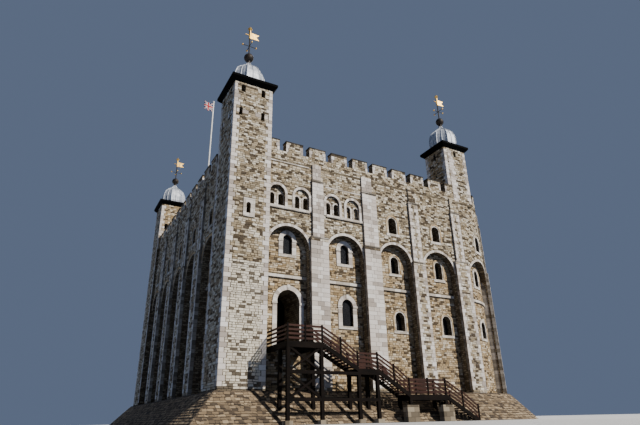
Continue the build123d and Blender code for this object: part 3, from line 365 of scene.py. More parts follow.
coping_base = masonry_finish(
    "coping_base", dark=srgb(24, 22, 20), middle=srgb(46, 42, 38), light=srgb(74, 68, 62),
    joint=srgb(22, 20, 18), size=COPING_SIZE)
footing_base = masonry_finish(
    "footing_base", dark=srgb(92, 82, 66), middle=srgb(138, 124, 102), light=srgb(170, 156, 132),
    joint=srgb(64, 56, 44), size=ASHLAR_SIZE)
# Stair and post timber: a dark stain, darkened almost to black with painted shade for the shadow under the
# landings and flights
STAIN_AND_SHADE_DARK, STAIN_AND_SHADE_LIGHT = srgb(6, 5, 4), srgb(28, 21, 17)
stair_dark = timber_finish("stair_timber", STAIN_AND_SHADE_DARK, STAIN_AND_SHADE_LIGHT, "x", rough=0.75, shine=0.1)
post_dark = timber_finish("post_timber", STAIN_AND_SHADE_DARK, STAIN_AND_SHADE_LIGHT, "z", rough=0.75, shine=0.1)
rail_brown = timber_finish("rail_boards", srgb(26, 15, 11), srgb(74, 43, 33), "x", rough=0.6)
floor_boards = timber_finish("floor_boards", srgb(70, 50, 32), srgb(128, 96, 64), "y", rough=0.55)
eaves_black = timber_finish("eaves_timber", srgb(3, 3, 4), srgb(11, 11, 12), "x", rough=0.8, shine=0.05)
roof_lead = roof_finish()
window_lead = metal_finish("window_lead", srgb(14, 15, 18), srgb(34, 37, 42), rough=0.6, metallic=0.2)
bronze = metal_finish("finial_bronze", srgb(20, 17, 16), srgb(50, 40, 32), rough=0.5, metallic=0.4)
gilding = metal_finish(
    "vane_gilding", srgb(170, 124, 52), srgb(240, 204, 120), rough=0.3, metallic=0.8, scale=40, depth=0.0002)
pole_white = metal_finish(
    "pole_paint", srgb(216, 216, 212), srgb(246, 246, 244), rough=0.35, metallic=0.0, scale=40, depth=0.0001)
glass_dark = glass_finish()
cupola_lead = lead_finish()

FINISHES = {
    "plinth": plinth_base, "walls": rubble_base, "turret": rubble_base, "parapet": rubble_base,
    "pilasters": pier_base, "surrounds": dressed_base, "rings": dressed_base, "courses": dressed_base,
    "copings": coping_base, "footings": footing_base, "slab": footing_base, "glass": glass_dark,
    "floor": floor_boards, "roof": roof_lead, "cupolas": cupola_lead, "eaves": eaves_black,
    "finials": bronze, "vane": gilding, "posts": post_dark, "treads": stair_dark, "stringers": stair_dark,
    "decks": stair_dark, "frames": stair_dark, "ties": stair_dark, "braces": post_dark, "rails": rail_brown,
    "flagpole": pole_white,
}
EXACT_WORDS = {
    "turret_eaves": "eaves", "turret_cupolas": "cupolas", "turret_finials": "finials", "rail_posts": "posts",
}


def finish_for(name):
    """Finish of a CAD node from the longest word of its name that FINISHES knows."""
    words = [word for word in FINISHES if word in name]
    return FINISHES[EXACT_WORDS.get(name) or max(words, key=len)]


for name, node in nodes.items():
    if name == "flag":
        continue
    node.data.materials.clear()
    node.data.materials.append(finish_for(name))


def surface(name, points, faces, material, values=None, smooth=False):
    """Mesh piece from an array of points and an array of faces with the same number of corners."""
    faces = np.asarray(faces)
    mesh = bpy.data.meshes.new(name)
    mesh.vertices.add(len(points))
    mesh.vertices.foreach_set("co", np.asarray(points, np.float32).ravel())
    mesh.loops.add(faces.size)
    mesh.loops.foreach_set("vertex_index", faces.ravel().astype(np.int32))
    mesh.polygons.add(len(faces))
    mesh.polygons.foreach_set("loop_start", np.arange(0, faces.size, faces.shape[1], dtype=np.int32))
    mesh.polygons.foreach_set("use_smooth", np.full(len(faces), smooth))
    mesh.update(calc_edges=True)
    for key, column in (values or {}).items():
        mesh.attributes.new(key, "FLOAT", "POINT").data.foreach_set("value", column.astype(np.float32))
    mesh.materials.append(material)
    piece = bpy.data.objects.new(name, mesh)
    scene.collection.objects.link(piece)
    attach(piece, "keep")
    return piece


# Rays that look for stonework: where they start, how far they reach, and the deepest face that gets stones
RAY_START, RAY_REACH, DEEPEST_FACE = -0.6, 0.95, 0.3


class FlatWall:
    """A flat side: u runs to the right, seen from outside, and depth inwards from the buttress fronts."""

    def __init__(self, corner, along, inwards, start=RAY_START, reach=RAY_REACH, deepest=DEEPEST_FACE):
        self.corner = (np.array(corner) - (CENTRE_X, CENTRE_Y)) * REAL
        self.along = np.array(along, float)
        self.inwards = np.array(inwards, float)
        self.start = start
        self.reach = reach
        self.deepest = deepest

    def points(self, u, depth, z):
        """Corner plus u along the side plus depth inwards, at height z."""
        u, depth, z = np.broadcast_arrays(u, depth, z)
        flat = self.corner + u[..., None] * self.along + depth[..., None] * self.inwards
        return np.concatenate([flat, z[..., None]], axis=-1)

    def ways(self, u):
        """Direction of the rays, one for each u."""
        return np.tile([*self.inwards, 0.0], (len(u), 1))


class RoundWall:
    """The chapel's round side: u is the arc from due south towards the east, depth runs in to its centre."""

    def __init__(self, centre, radius):
        self.centre = (np.array(centre) - (CENTRE_X, CENTRE_Y)) * REAL
        self.radius = radius * REAL
        self.start = RAY_START
        self.reach = RAY_REACH
        self.deepest = DEEPEST_FACE

    def points(self, u, depth, z):
        """A circle of the radius less the depth, turned by the arc over the radius."""
        u, depth, z = np.broadcast_arrays(u, depth, z)
        r, turn = self.radius - depth, u / self.radius
        x, y = self.centre[0] + r * np.sin(turn), self.centre[1] - r * np.cos(turn)
        return np.stack([x, y, z], axis=-1)

    def ways(self, u):
        """Direction of the rays, one for each u."""
        turn = u / self.radius
        return np.stack([-np.sin(turn), np.cos(turn), np.zeros(len(u))], axis=-1)


# A buttress whose upper stage lies deeper than this is laid as wall
PIER_DEPTH = 0.034
NONE, TURRET, PIER, WALL, PARAPET, PLINTH = range(6)


def kind_of(name):
    """What kind of stonework a node is; nodes that only stand in the way are NONE."""
    for word, kind in (("surround", NONE), ("eaves", NONE), ("plinth", PLINTH), ("turret", TURRET),
                       ("pilasters", PIER), ("walls", WALL), ("parapet", PARAPET)):
        if word in name:
            return kind
    return NONE


def stone_tree():
    """One search tree over all the stonework, with the kind of each face."""
    wanted = ("plinth", "walls", "turret", "pilasters", "parapet", "surrounds", "rings", "courses", "copings")
    points, faces, kinds, first = [], [], [], 0
    for name, node in sorted(nodes.items()):
        if not any(word in name for word in wanted) or name in ("turret_cupolas", "turret_finials"):
            continue
        mesh = node.data
        co = np.empty(len(mesh.vertices) * 3)
        mesh.vertices.foreach_get("co", co)
        mesh.calc_loop_triangles()
        corner = np.empty(len(mesh.loop_triangles) * 3, np.int32)
        mesh.loop_triangles.foreach_get("vertices", corner)
        points.append(co.reshape(-1, 3))
        faces.append(corner.reshape(-1, 3) + first)
        kinds += [kind_of(name)] * (len(corner) // 3)
        first += len(mesh.vertices)
    tree = BVHTree.FromPolygons(np.concatenate(points).tolist(), np.concatenate(faces).tolist())
    return tree, np.array(kinds)


tree, face_kinds = stone_tree()
NOTHING_MET = 9.0


def look(wall, columns, levels):
    """Depth and kind of the first stonework that level rays meet, one row for each level."""
    depth = np.full((len(levels), len(columns)), NOTHING_MET)
    kind = np.zeros((len(levels), len(columns)), int)
    ways = wall.ways(columns).tolist()
    for i, z in enumerate(levels):
        starts = wall.points(columns, wall.start, z).tolist()
        for j, (start, way) in enumerate(zip(starts, ways)):
            _, _, face, distance = tree.ray_cast(start, way, wall.reach)
            if face is not None:
                depth[i, j] = wall.start + distance
                kind[i, j] = face_kinds[face]
    kind[(kind == PIER) & (depth > PIER_DEPTH)] = WALL
    return depth, kind


LEVEL_TOLERANCE = 0.0012


def stretches(good, kind, low, high):
    """First and last column of each stretch of good columns that are alike in kind and depth."""
    alike = good[1:] & good[:-1] & (kind[1:] == kind[:-1])
    alike &= (np.abs(np.diff(low)) < LEVEL_TOLERANCE) & (np.abs(np.diff(high)) < LEVEL_TOLERANCE)
    starts = np.flatnonzero(good & ~np.concatenate([[False], alike]))
    ends = np.flatnonzero(good & ~np.concatenate([alike, [False]]))
    return list(zip(starts, ends))


SHORTEST_STONE, CHAMFER_SHARE = 0.004, 0.4


class Blocks:
    """Blocks on one wall, each a closed chamfered plate over four corners of u, height and depth."""

    def __init__(self, wall):
        self.wall = wall
        self.outlines, self.proud, self.warmth = [], [], []

    def add(self, outline, proud, warmth=0.0):
        outline = np.asarray(outline, float).reshape(-1, 4, 3)
        self.outlines.append(outline)
        self.proud.append(chance.uniform(*proud, (len(outline), 4)))
        self.warmth.append(np.full(len(outline), warmth))

    def course(self, edges, gap, z0, z1, low, high, proud, warmth=0.0, jitter=0.0):
        """A course of blocks between neighbouring edges, from z0 to z1, on a face that may lean."""
        left, right = edges[:-1] + gap / 2, edges[1:] - gap / 2
        keep = right - left > SHORTEST_STONE
        left, right = left[keep], right[keep]
        if not len(left):
            return
        foot, head = np.full_like(left, z0 + gap / 2), np.full_like(left, z1 - gap / 2)
        near, far = np.full_like(left, low), np.full_like(left, high)
        outline = np.stack([np.stack([left, foot, near], -1), np.stack([right, foot, near], -1),
                            np.stack([right, head, far], -1), np.stack([left, head, far], -1)], 1)
        outline[..., :2] += chance.uniform(-jitter, jitter, outline[..., :2].shape)
        self.add(outline, proud, warmth)

    def build(self, name, material, slot, chamfer=0.0014, sink=0.0006):
        """Each block has a back ring sunk in the wall and a smaller front ring that stands proud of it."""
        outline = np.concatenate(self.outlines)
        proud = np.concatenate(self.proud)
        middle = outline.mean(axis=1, keepdims=True)
        inward = (middle - outline)[..., :2]
        length = np.linalg.norm(inward, axis=-1, keepdims=True)
        back, front = outline.copy(), outline.copy()
        back[..., 2] += sink
        front[..., :2] += inward / length * np.minimum(chamfer, length * CHAMFER_SHARE)
        front[..., 2] -= proud
        ring = np.concatenate([back, front], axis=1)
        points = self.wall.points(ring[..., 0], ring[..., 2], ring[..., 1]).reshape(-1, 3)
        points = np.clip(points, cad_low, cad_high)
        sides = np.array([(0, 1, 5, 4), (1, 2, 6, 5), (2, 3, 7, 6), (3, 0, 4, 7), (4, 5, 6, 7), (3, 2, 1, 0)])
        faces = (sides[None] + 8 * np.arange(len(outline))[:, None, None]).reshape(-1, 4)
        tone = np.repeat(chance.random(len(outline)), 8)
        warmth = np.repeat(np.concatenate(self.warmth), 8)
        return surface(name, points, faces, material, {"tone": tone, "warmth": warmth})


# Courses shared by all sides, in pairs, so that the corner stones of two sides line up
PAIR_HEIGHT, PAIR_COUNT = 0.4 * REAL, 90
pair_heights = PAIR_HEIGHT * chance.uniform(0.9, 1.1, PAIR_COUNT)
pair_levels = np.concatenate([[0.0], np.cumsum(pair_heights)])
pair_split = chance.uniform(0.38, 0.62, PAIR_COUNT)

# Columns of rays, the step in depth that counts as an outer edge, and how far inside a course its rays run
COLUMN, EDGE_STEP, LEVEL_INSET = 0.06 * REAL, 0.015, 0.12

# Long and short corner stones of each kind of face, and how far they reach round the edge
CORNER_STONES = {TURRET: (0.6, 0.38), PIER: (0.5, 0.3), PARAPET: (0.34, 0.22)}
CORNER_LIP, NARROWEST_FACE, LARGEST_SHARE, COVER_MARGIN = 0.0022, 4, 0.45, 0.001

# Lengths of the stones, joints between them, and how far each kind stands out from the face
ASHLAR_LENGTH, RUBBLE_LENGTH, LENGTH_SPREAD, RUBBLE_OVERLAP = 0.75 * REAL, 0.38 * REAL, (0.5, 1.6), 0.4
DRESSED_JOINT, RUBBLE_JOINT, RUBBLE_JITTER, ASHLAR_JITTER = 0.0014, 0.0032, 0.0015, 0.004
CORNER_PROUD, ASHLAR_PROUD = (0.0018, 0.0026), (0.0018, 0.0024)
RUBBLE_PROUD, PLINTH_PROUD = (0.0008, 0.0052), (0.0006, 0.0026)

# Faces deeper than this get warmer stones, and the front turrets' stones are pale up to this height
WARM_DEPTH, PALE_TOP = 0.09, 1.25


def find_edge(wall, z, inside, outside, depth):
    """Place between two columns where a face at this depth ends, by halving six times."""
    for _ in range(6):
        middle = (inside + outside) / 2
        found, _ = look(wall, np.array([middle]), [z])
        if abs(found[0, 0] - depth) < LEVEL_TOLERANCE:
            inside = middle
        else:
            outside = middle
    return inside


def split_stretch(left, right, size):
    """Random edges that part a stretch into stones of about this length."""
    count = max(1, round((right - left) / size))
    steps = chance.uniform(*LENGTH_SPREAD, count)
    return left + (right - left) * np.concatenate([[0.0], np.cumsum(steps) / steps.sum()])


class Facing:
    """The stones of one side: corner stones at the edges of faces, ashlar on some piers, rubble between."""

    def __init__(self, wall, span, parity, ashlar_end):
        self.wall = wall
        self.columns = np.arange(span[0] * REAL, span[1] * REAL, COLUMN)
        self.parity = parity
        self.ashlar_end = ashlar_end * REAL
        self.rubble, self.plinth, self.dressed = Blocks(wall), Blocks(wall), Blocks(wall)

    def lay_pair(self, pair):
        """Lays two courses: dressed stones as high as both, then rubble in each on the columns left free."""
        foot, head = pair_levels[pair], pair_levels[pair + 1]
        middle = foot + (head - foot) * pair_split[pair]
        rows = ((foot, middle), (middle, head))
        levels = [z for a, b in rows for z in (a + LEVEL_INSET * (b - a), b - LEVEL_INSET * (b - a))]
        depth, kind = look(self.wall, self.columns, levels)
        free = self.lay_dressed(pair, foot, middle, head, depth, kind)
        for row, (z0, z1) in enumerate(rows):
            seen = slice(2 * row, 2 * row + 2)
            self.lay_rubble(z0, z1, depth[seen], kind[seen], free)

    def outer_edge(self, at, beyond, middle, depth, here):
        """Exact end of a face next to a column, or None where the face runs into a corner."""
        outside = not 0 <= beyond < len(self.columns)
        if not outside and not (depth[:, beyond] > here + EDGE_STEP).all():
            return None
        step = COLUMN if beyond > at else -COLUMN
        return find_edge(self.wall, middle, self.columns[at], self.columns[at] + step, here)

    def lay_dressed(self, pair, foot, middle, head, depth, kind):
        """Corner stones at the outer edges of each face, or a course of ashlar; gives the free columns."""
        free = np.ones(len(self.columns), bool)
        flat = (kind > NONE).all(0) & (kind == kind[0]).all(0) & (np.ptp(depth, axis=0) < LEVEL_TOLERANCE)
        flat &= np.isin(kind[0], list(CORNER_STONES))
        long_stone = (pair + self.parity) % 2 == 0
        for a, b in stretches(flat, kind[0], depth[0], depth[-1]):
            if b - a < NARROWEST_FACE:
                continue
            here, sort = depth[0, a], kind[0, a]
            start = self.outer_edge(a, a - 1, middle, depth, here)
            end = self.outer_edge(b, b + 1, middle, depth, here)
            left = self.columns[a] if start is None else start
            right = self.columns[b] if end is None else end
            if sort == PIER and 0 < left < self.ashlar_end:
                count = max(2, round((right - left) / ASHLAR_LENGTH)) + (1 if long_stone else 0)
                edges = np.linspace(left, right, count + 1)
                edges[1:-1] += chance.uniform(-ASHLAR_JITTER, ASHLAR_JITTER, count - 1)
                edges[0] -= CORNER_LIP
                edges[-1] += CORNER_LIP
                self.dressed.course(edges, DRESSED_JOINT, foot, head, here, here, ASHLAR_PROUD)
                free[a:b + 1] = False
                continue
            length = CORNER_STONES[sort][0 if long_stone else 1] * REAL
            reach = min(length, (right - left) * LARGEST_SHARE)
            spans = []
            if start is not None:
                spans.append((start - CORNER_LIP, start + reach))
            if end is not None:
                spans.append((end - reach, end + CORNER_LIP))
            for span in spans:
                self.dressed.course(np.array(span), DRESSED_JOINT, foot, head, here, here, CORNER_PROUD)
                covered = (self.columns > span[0] - COVER_MARGIN) & (self.columns < span[1] + COVER_MARGIN)
                free[covered] = False
        return free

    def lay_rubble(self, z0, z1, depth, kind, free):
        """One course of rubble or plinth stones on each free stretch, leaning with the face behind it."""
        low, high = depth
        same = (kind[0] > NONE) & (kind[0] == kind[1]) & free & (low < self.wall.deepest)
        same &= (np.abs(high - low) < LEVEL_TOLERANCE) | (kind[0] == PLINTH)
        for a, b in stretches(same, kind[0], low, high):
            if b - a < 1:
                continue
            lean = (high[a] - low[a]) / (1 - 2 * LEVEL_INSET)
            near = low[a] - LEVEL_INSET * lean
            lap = COLUMN * RUBBLE_OVERLAP
            left, right = self.columns[a] - lap, self.columns[b] + lap
            pale = kind[0][a] == TURRET and self.wall is south and z0 < PALE_TOP
            warmth = -1.0 if pale else 1.0 if low[a] > WARM_DEPTH else 0.0
            on_plinth = kind[0][a] == PLINTH
            edges = split_stretch(left, right, RUBBLE_LENGTH)
            proud = PLINTH_PROUD if on_plinth else RUBBLE_PROUD
            target = self.plinth if on_plinth else self.rubble
            target.course(edges, RUBBLE_JOINT, z0, z1, near, near + lean, proud, warmth, RUBBLE_JITTER)

    def build(self, name):
        """One piece for each kind of stone that this side has."""
        for kind_name, blocks, material, slot in (
            ("rubble", self.rubble, rubble_blocks, "rubble_stone"),
            ("plinth_blocks", self.plinth, plinth_blocks, "plinth_stone"),
            ("corner_stones", self.dressed, dressed_blocks, "dressed_stone"),
        ):
            if blocks.outlines:
                blocks.build(f"{name}_{kind_name}", material, slot)


def lay_stones(name, wall, span, heights, parity, ashlar_end=0.0):
    """Covers every face that the wall's rays meet between two heights."""
    facing = Facing(wall, span, parity, ashlar_end)
    for pair in range(PAIR_COUNT):
        if pair_levels[pair + 1] >= heights[0] * REAL and pair_levels[pair] <= heights[1] * REAL:
            facing.lay_pair(pair)
    facing.build(name)


south = FlatWall((0, 0), (1, 0), (0, 1))
west = FlatWall((0, DEPTH), (0, -1), (1, 0))
north = FlatWall((WIDTH, DEPTH), (-1, 0), (0, -1))
east = FlatWall((WIDTH, 0), (0, 1), (-1, 0))
CHAPEL_X, CHAPEL_RADIUS = 27.54, 7.45
CHAPEL_HEAD, TURRET_HEAD, ROOF_LEVEL, BATTER, ASHLAR_END = 25.5, 30.6, 23.3, 2.7, 15.8
chapel = RoundWall((CHAPEL_X, CHAPEL_RADIUS), CHAPEL_RADIUS)
CHAPEL_END = math.pi - math.asin((WIDTH - CHAPEL_X) / CHAPEL_RADIUS)
CHAPEL_NORTH = CHAPEL_RADIUS + CHAPEL_RADIUS * math.sin(CHAPEL_END - math.pi / 2)

lay_stones("south", south, (-BATTER, CHAPEL_X), (0, TURRET_HEAD), 0, ASHLAR_END)
lay_stones("west", west, (-BATTER, DEPTH + BATTER), (0, TURRET_HEAD), 1)
lay_stones("north", north, (-BATTER, WIDTH + BATTER), (0, TURRET_HEAD), 0)
lay_stones("east", east, (CHAPEL_NORTH, DEPTH + BATTER), (0, TURRET_HEAD), 1)
lay_stones("chapel", chapel, (0.02, CHAPEL_END * CHAPEL_RADIUS), (0, CHAPEL_HEAD), 0)
lay_stones("east_turret_front", east, (0.2, 4.2), (CHAPEL_HEAD, TURRET_HEAD), 1)
lay_stones("south_turret_end", south, (CHAPEL_X, WIDTH + 0.1), (23.1, TURRET_HEAD), 0)

# Faces of the turrets and parapets that look in over the roof
INNER, INNER_RAY = 12.0, (0.0, 1.3, 1.3)
over_roof = (
    ("inner_east", FlatWall((INNER, 0), (0, 1), (-1, 0), *INNER_RAY), DEPTH, 0),
    ("inner_west", FlatWall((WIDTH - INNER, DEPTH), (0, -1), (1, 0), *INNER_RAY), DEPTH, 0),
    ("inner_north", FlatWall((WIDTH, INNER), (-1, 0), (0, -1), *INNER_RAY), WIDTH, 1),
    ("inner_south", FlatWall((0, DEPTH - INNER), (1, 0), (0, 1), *INNER_RAY), WIDTH, 1),
)
for inner_name, wall, length, parity in over_roof:
    lay_stones(inner_name, wall, (0, length), (ROOF_LEVEL, TURRET_HEAD), parity)


# Faces of the dressed stones: in the recesses, on the upper wall, and on the rings of the blind arches
RECESS_FACE, UPPER_FACE, RING_FACE = 0.97, 0.27, 0.29

# Bands of dressed stone round the openings: keyed frames, then the inner and outer ends of narrow arches
WIDE, NARROW_INNER, NARROW, RELIEVING, TWIN = 0.41, 0.14, 0.30, 0.24, 0.15

# Arches of the front: centre, width, sill, crown, depth of the face, and the inner and outer ends of the band
FRONT_ARCHES = (
    (6.23, 2.14, 5.85, 10.84, RECESS_FACE, 0, WIDE),
    (6.11, 0.92, 14.11, 15.99, RECESS_FACE, 0, WIDE),
    (12.27, 1.18, 8.09, 10.56, RECESS_FACE, 0, WIDE),
    (12.165, 0.95, 13.96, 15.9, RECESS_FACE, 0, WIDE),
    (18.3, 1.1, 8.06, 9.86, RECESS_FACE, NARROW_INNER, NARROW),
    (18.15, 0.94, 13.73, 15.5, RECESS_FACE, NARROW_INNER, NARROW),
    (17.735, 1.01, 17.75, 19.51, UPPER_FACE, NARROW_INNER, NARROW),
    (24.3, 1.1, 8.0, 9.94, RECESS_FACE, NARROW_INNER, NARROW),
    (24.0, 0.94, 13.8, 15.7, RECESS_FACE, NARROW_INNER, NARROW),
    (23.545, 1.01, 17.75, 19.51, UPPER_FACE, NARROW_INNER, NARROW),
    (4.75, 1.52, 18.45, 20.54, UPPER_FACE, 0, RELIEVING),
    (7.265, 1.52, 18.45, 20.54, UPPER_FACE, 0, RELIEVING),
    (10.62, 1.52, 18.45, 20.54, UPPER_FACE, 0, RELIEVING),
    (12.93, 1.52, 18.45, 20.54, UPPER_FACE, 0, RELIEVING),
)

# Arches of the front past this place have golden stones, and so have all those of the other sides
GOLDEN_FROM = 15
PLAIN_ARCHES = (
    (1.1, 8.03, 9.9, RECESS_FACE), (0.94, 13.77, 15.6, RECESS_FACE), (1.01, 17.75, 19.51, UPPER_FACE),
)
TWIN_LIGHTS, TWIN_OFFSET = ((4.75, 0.65), (7.265, 0.5), (10.62, 0.5), (12.93, 0.5)), 0.46
TWIN_WIDTH, TWIN_SILL, TWIN_CROWN = 0.54, 18.45, 19.79
PIER_WIDTH, BLIND_CROWN, BLIND_JAMB, RING_WIDTH = 1.83, 16.58, 0.06, 0.25
FRONT_BAYS = ((3.86, 8.05), (9.86, 13.96), (15.79, 19.83), (21.38, 25.71))

# Wedge and jamb stones: their lengths, half the joint between wedges, and how far they stand out
WEDGE_LENGTH, JAMB_LENGTH, WEDGE_JOINT = 0.34, 0.38, 0.012
WEDGE_PROUD, TWIN_PROUD, ARCH_CHAMFER, ARCH_SINK = (0.0008, 0.0014), (0.0054, 0.0060), 0.0008, 0.0004


def arch_blocks(blocks, centre, width, sill, crown, face, inner, outer, proud=WEDGE_PROUD):
    """Wedges round an arch's head, each between two radii and two angles, and blocks down its jambs."""
    half = width / 2
    spring = crown - half
    r0, r1 = half + inner, half + outer
    count = 2 * round(math.pi * (r0 + r1) / 2 / WEDGE_LENGTH / 2) + 1
    gap = WEDGE_JOINT / r1
    t = np.linspace(0, math.pi, count + 1)
    a, b = t[:-1] + gap, t[1:] - gap

    def at(radius, angle):
        x, z = centre + radius * np.cos(angle), spring + radius * np.sin(angle)
        return np.stack([x, z, np.full_like(angle, face)], -1)

    wedge = np.stack([at(r0, a), at(r1, a), at(r1, b), at(r0, b)], 1)
    blocks.add(wedge * REAL, proud)
    if sill is None:
        return
    levels = np.linspace(sill, spring, max(2, round((spring - sill) / JAMB_LENGTH)) + 1)
    for left, right in ((centre - r1, centre - r0), (centre + r0, centre + r1)):
        for z0, z1 in zip(levels[:-1], levels[1:]):
            edges = np.array([left - WEDGE_JOINT, right + WEDGE_JOINT]) * REAL
            blocks.course(edges, DRESSED_JOINT, z0 * REAL, z1 * REAL, face * REAL, face * REAL, proud)


def plain_bays(start, end, count):
    """Equal bays between two ends with count buttresses between them."""
    width = (end - start - count * PIER_WIDTH) / (count + 1)
    starts = [start + k * (width + PIER_WIDTH) for k in range(count + 1)]
    return [(at, at + width) for at in starts]


def ring_of(start, end):
    """Arch of dressed stones round the head of a bay's blind recess."""
    return (start + end) / 2, end - start - 2 * BLIND_JAMB, None, BLIND_CROWN, RING_FACE, 0, RING_WIDTH


REAR_SIDE, FRONT_TURRET_DEPTH = 3.76, 4.1
SIDE_BAYS = {
    "west": (west, plain_bays(REAR_SIDE, DEPTH - FRONT_TURRET_DEPTH, 4)),
    "north": (north, plain_bays(REAR_SIDE, WIDTH - REAR_SIDE, 3)),
    "east": (east, plain_bays(CHAPEL_NORTH, DEPTH - REAR_SIDE, 2)),
}
front_arches = Blocks(south)
golden_arches = Blocks(south)
for arch in FRONT_ARCHES:
    arch_blocks(golden_arches if arch[0] > GOLDEN_FROM else front_arches, *arch)
for centre, face in TWIN_LIGHTS:
    for side in (-TWIN_OFFSET, TWIN_OFFSET):
        light = centre + side, TWIN_WIDTH, TWIN_SILL, TWIN_CROWN, face, 0, TWIN
        arch_blocks(front_arches, *light, TWIN_PROUD)
for start, end in FRONT_BAYS:
    arch_blocks(front_arches, *ring_of(start, end))
front_arches.build("front_arch_stones", dressed_blocks, "dressed_stone", ARCH_CHAMFER, ARCH_SINK)
golden_arches.build("front_golden_arch_stones", golden_blocks, "dressed_stone", ARCH_CHAMFER, ARCH_SINK)
for side_name, (wall, bays) in SIDE_BAYS.items():
    stones = Blocks(wall)
    for start, end in bays:
        arch_blocks(stones, *ring_of(start, end))
        for width, sill, crown, face in PLAIN_ARCHES:
            arch_blocks(stones, (start + end) / 2, width, sill, crown, face, NARROW_INNER, NARROW)
    stones.build(f"{side_name}_arch_stones", golden_blocks, "dressed_stone", ARCH_CHAMFER, ARCH_SINK)

# Leads of the glazed windows: wall, centre, width, sill, crown and depth of the glass
TALL_GLASS, SMALL_GLASS = 1.25, 1.6
glazed = [
    (south, 6.11, 0.92, 14.11, 15.99, TALL_GLASS), (south, 12.27, 1.18, 8.09, 10.56, TALL_GLASS),
    (south, 12.165, 0.95, 13.96, 15.9, TALL_GLASS), (south, 18.3, 1.1, 8.06, 9.86, SMALL_GLASS),
    (south, 18.15, 0.94, 13.73, 15.5, SMALL_GLASS), (south, 24.3, 1.1, 8.0, 9.94, SMALL_GLASS),
    (south, 24.0, 0.94, 13.8, 15.7, SMALL_GLASS),
]
for wall, bays in SIDE_BAYS.values():
    for start, end in bays:
        for width, sill, crown, _ in PLAIN_ARCHES[:2]:
            glazed.append((wall, (start + end) / 2, width, sill, crown, SMALL_GLASS))


# Spacing, slope and half width of the lead bars, and how far across and up their lines are tried
BAR_PITCH, BAR_SLOPE, BAR_HALF, BAR_REACH, BAR_RISE = 0.17, 1.3, 0.009, 2.5, 2.2
BAR_STEPS, SHORTEST_BAR = 400, 3
BAR_PROUD, BAR_CHAMFER, BAR_SINK = (0.0010, 0.0012), 0.0002, 0.0002


def lead_bars(centre, width, sill, crown, depth):
    """Slanting bars both ways over a round-headed pane: straight lines cut where they leave its outline."""
    half, spring = width / 2, crown - width / 2
    u = np.linspace(-BAR_REACH, BAR_REACH, BAR_STEPS)
    found = []
    for hand in (1, -1):
        for offset in np.arange(-BAR_RISE, BAR_RISE, BAR_PITCH):
            z = (sill + crown) / 2 + hand * u * BAR_SLOPE + offset
            inside = (abs(u) < half) & (z > sill) & ((z < spring) | (u ** 2 + (z - spring) ** 2 < half ** 2))
            if inside.sum() > SHORTEST_BAR:
                first, last = np.flatnonzero(inside)[[0, -1]]
                found.append((u[first], z[first], u[last], z[last]))
    ends = np.array(found)
    way = ends[:, 2:] - ends[:, :2]
    side = np.stack([way[:, 1], -way[:, 0]], -1)
    side *= BAR_HALF / np.linalg.norm(side, axis=1, keepdims=True)
    corners = np.stack([ends[:, :2] - side, ends[:, :2] + side, ends[:, 2:] + side, ends[:, 2:] - side], 1)
    corners[:, :, 0] += centre
    flips = np.cross(corners[:, 1] - corners[:, 0], corners[:, 2] - corners[:, 1]) < 0
    corners[flips] = corners[flips][:, ::-1]
    full = np.concatenate([corners, np.full((*corners.shape[:2], 1), depth)], -1)
    return full * REAL


for wall_name, wall in (("south", south), *((k, v[0]) for k, v in SIDE_BAYS.items())):
    leads = Blocks(wall)
    for pane_wall, *pane in glazed:
        if pane_wall is wall:
            leads.add(lead_bars(*pane), BAR_PROUD)
    leads.build(f"{wall_name}_window_leads", window_lead, "roof_lead", BAR_CHAMFER, BAR_SINK)

# Rolls over the joints of the lead on the cupolas: heights and radii of the profile, and the turrets' centres
CUPOLA = np.array([
    (0.0, 1.62), (0.6, 1.72), (1.3, 1.72), (1.75, 1.64), (2.35, 1.41), (2.8, 0.98), (3.1, 0.5), (3.4, 0.28),
    (3.6, 0.2),
])
CUPOLA_FOOT, CUPOLA_FACETS, ROLL_RADIUS, ROLL_SIDES, ROLL_LIFT = 31.19, 8, 0.05, 8, 0.01
TURRETS = ((1.93, 2.05), (1.88, 34.19), (28.02, 34.19), (28.225, 2.025))


def roll_tube(k):
    """Ring of points round each point of the profile: cosine across it, sine along its outward normal."""
    facet = math.pi / CUPOLA_FACETS
    turn = facet * (k + 1)
    share = 1.0 if k % 2 == 0 else math.cos(facet)
    r, z = CUPOLA[:, 1] * share + ROLL_LIFT, CUPOLA[:, 0] + CUPOLA_FOOT
    path = np.stack([r * math.cos(turn), r * math.sin(turn), z], -1)
    across = np.array([-math.sin(turn), math.cos(turn), 0.0])
    run = np.gradient(path, axis=0)
    run /= np.linalg.norm(run, axis=1, keepdims=True)
    out = np.cross(across, run)
    a = np.linspace(0, 2 * math.pi, ROLL_SIDES, endpoint=False)
    ring = np.cos(a)[None, :, None] * across + np.sin(a)[None, :, None] * out[:, None]
    return path[:, None] + ring * ROLL_RADIUS


def cupola_rolls():
    """Rolls along the cupola's profile, at each edge and up the middle of each facet, closed at both ends."""
    rolls = [roll_tube(k) + np.array([x - CENTRE_X, y - CENTRE_Y, 0.0])
             for x, y in TURRETS for k in range(2 * CUPOLA_FACETS)]
    grid = np.arange(len(CUPOLA) * ROLL_SIDES).reshape(len(CUPOLA), ROLL_SIDES)
    beside = np.roll(grid, -1, axis=1)
    sides = np.stack([grid[:-1], grid[1:], beside[1:], beside[:-1]], -1).reshape(-1, 4)
    end = np.array([(0, 1, 2, 3), (0, 3, 4, 7), (4, 5, 6, 7)])
    tube = np.concatenate([sides, grid[0][end], grid[-1][end[:, ::-1]]])
    faces = tube[None] + grid.size * np.arange(len(rolls))[:, None, None]
    points = np.stack(rolls).reshape(-1, 3) * REAL
    surface("cupola_rolls", points, faces.reshape(-1, 4), cupola_lead, smooth=True)


cupola_rolls()

# Gilded knobs over the tips of the direction arms
ARM_LENGTH, ARM_LEVEL, KNOB_RADIUS, KNOB_RINGS, KNOB_SIDES = 0.75, 37.2, 0.1, 7, 12
ARM_WAYS = ((1, 0), (0, 1), (-1, 0), (0, -1))


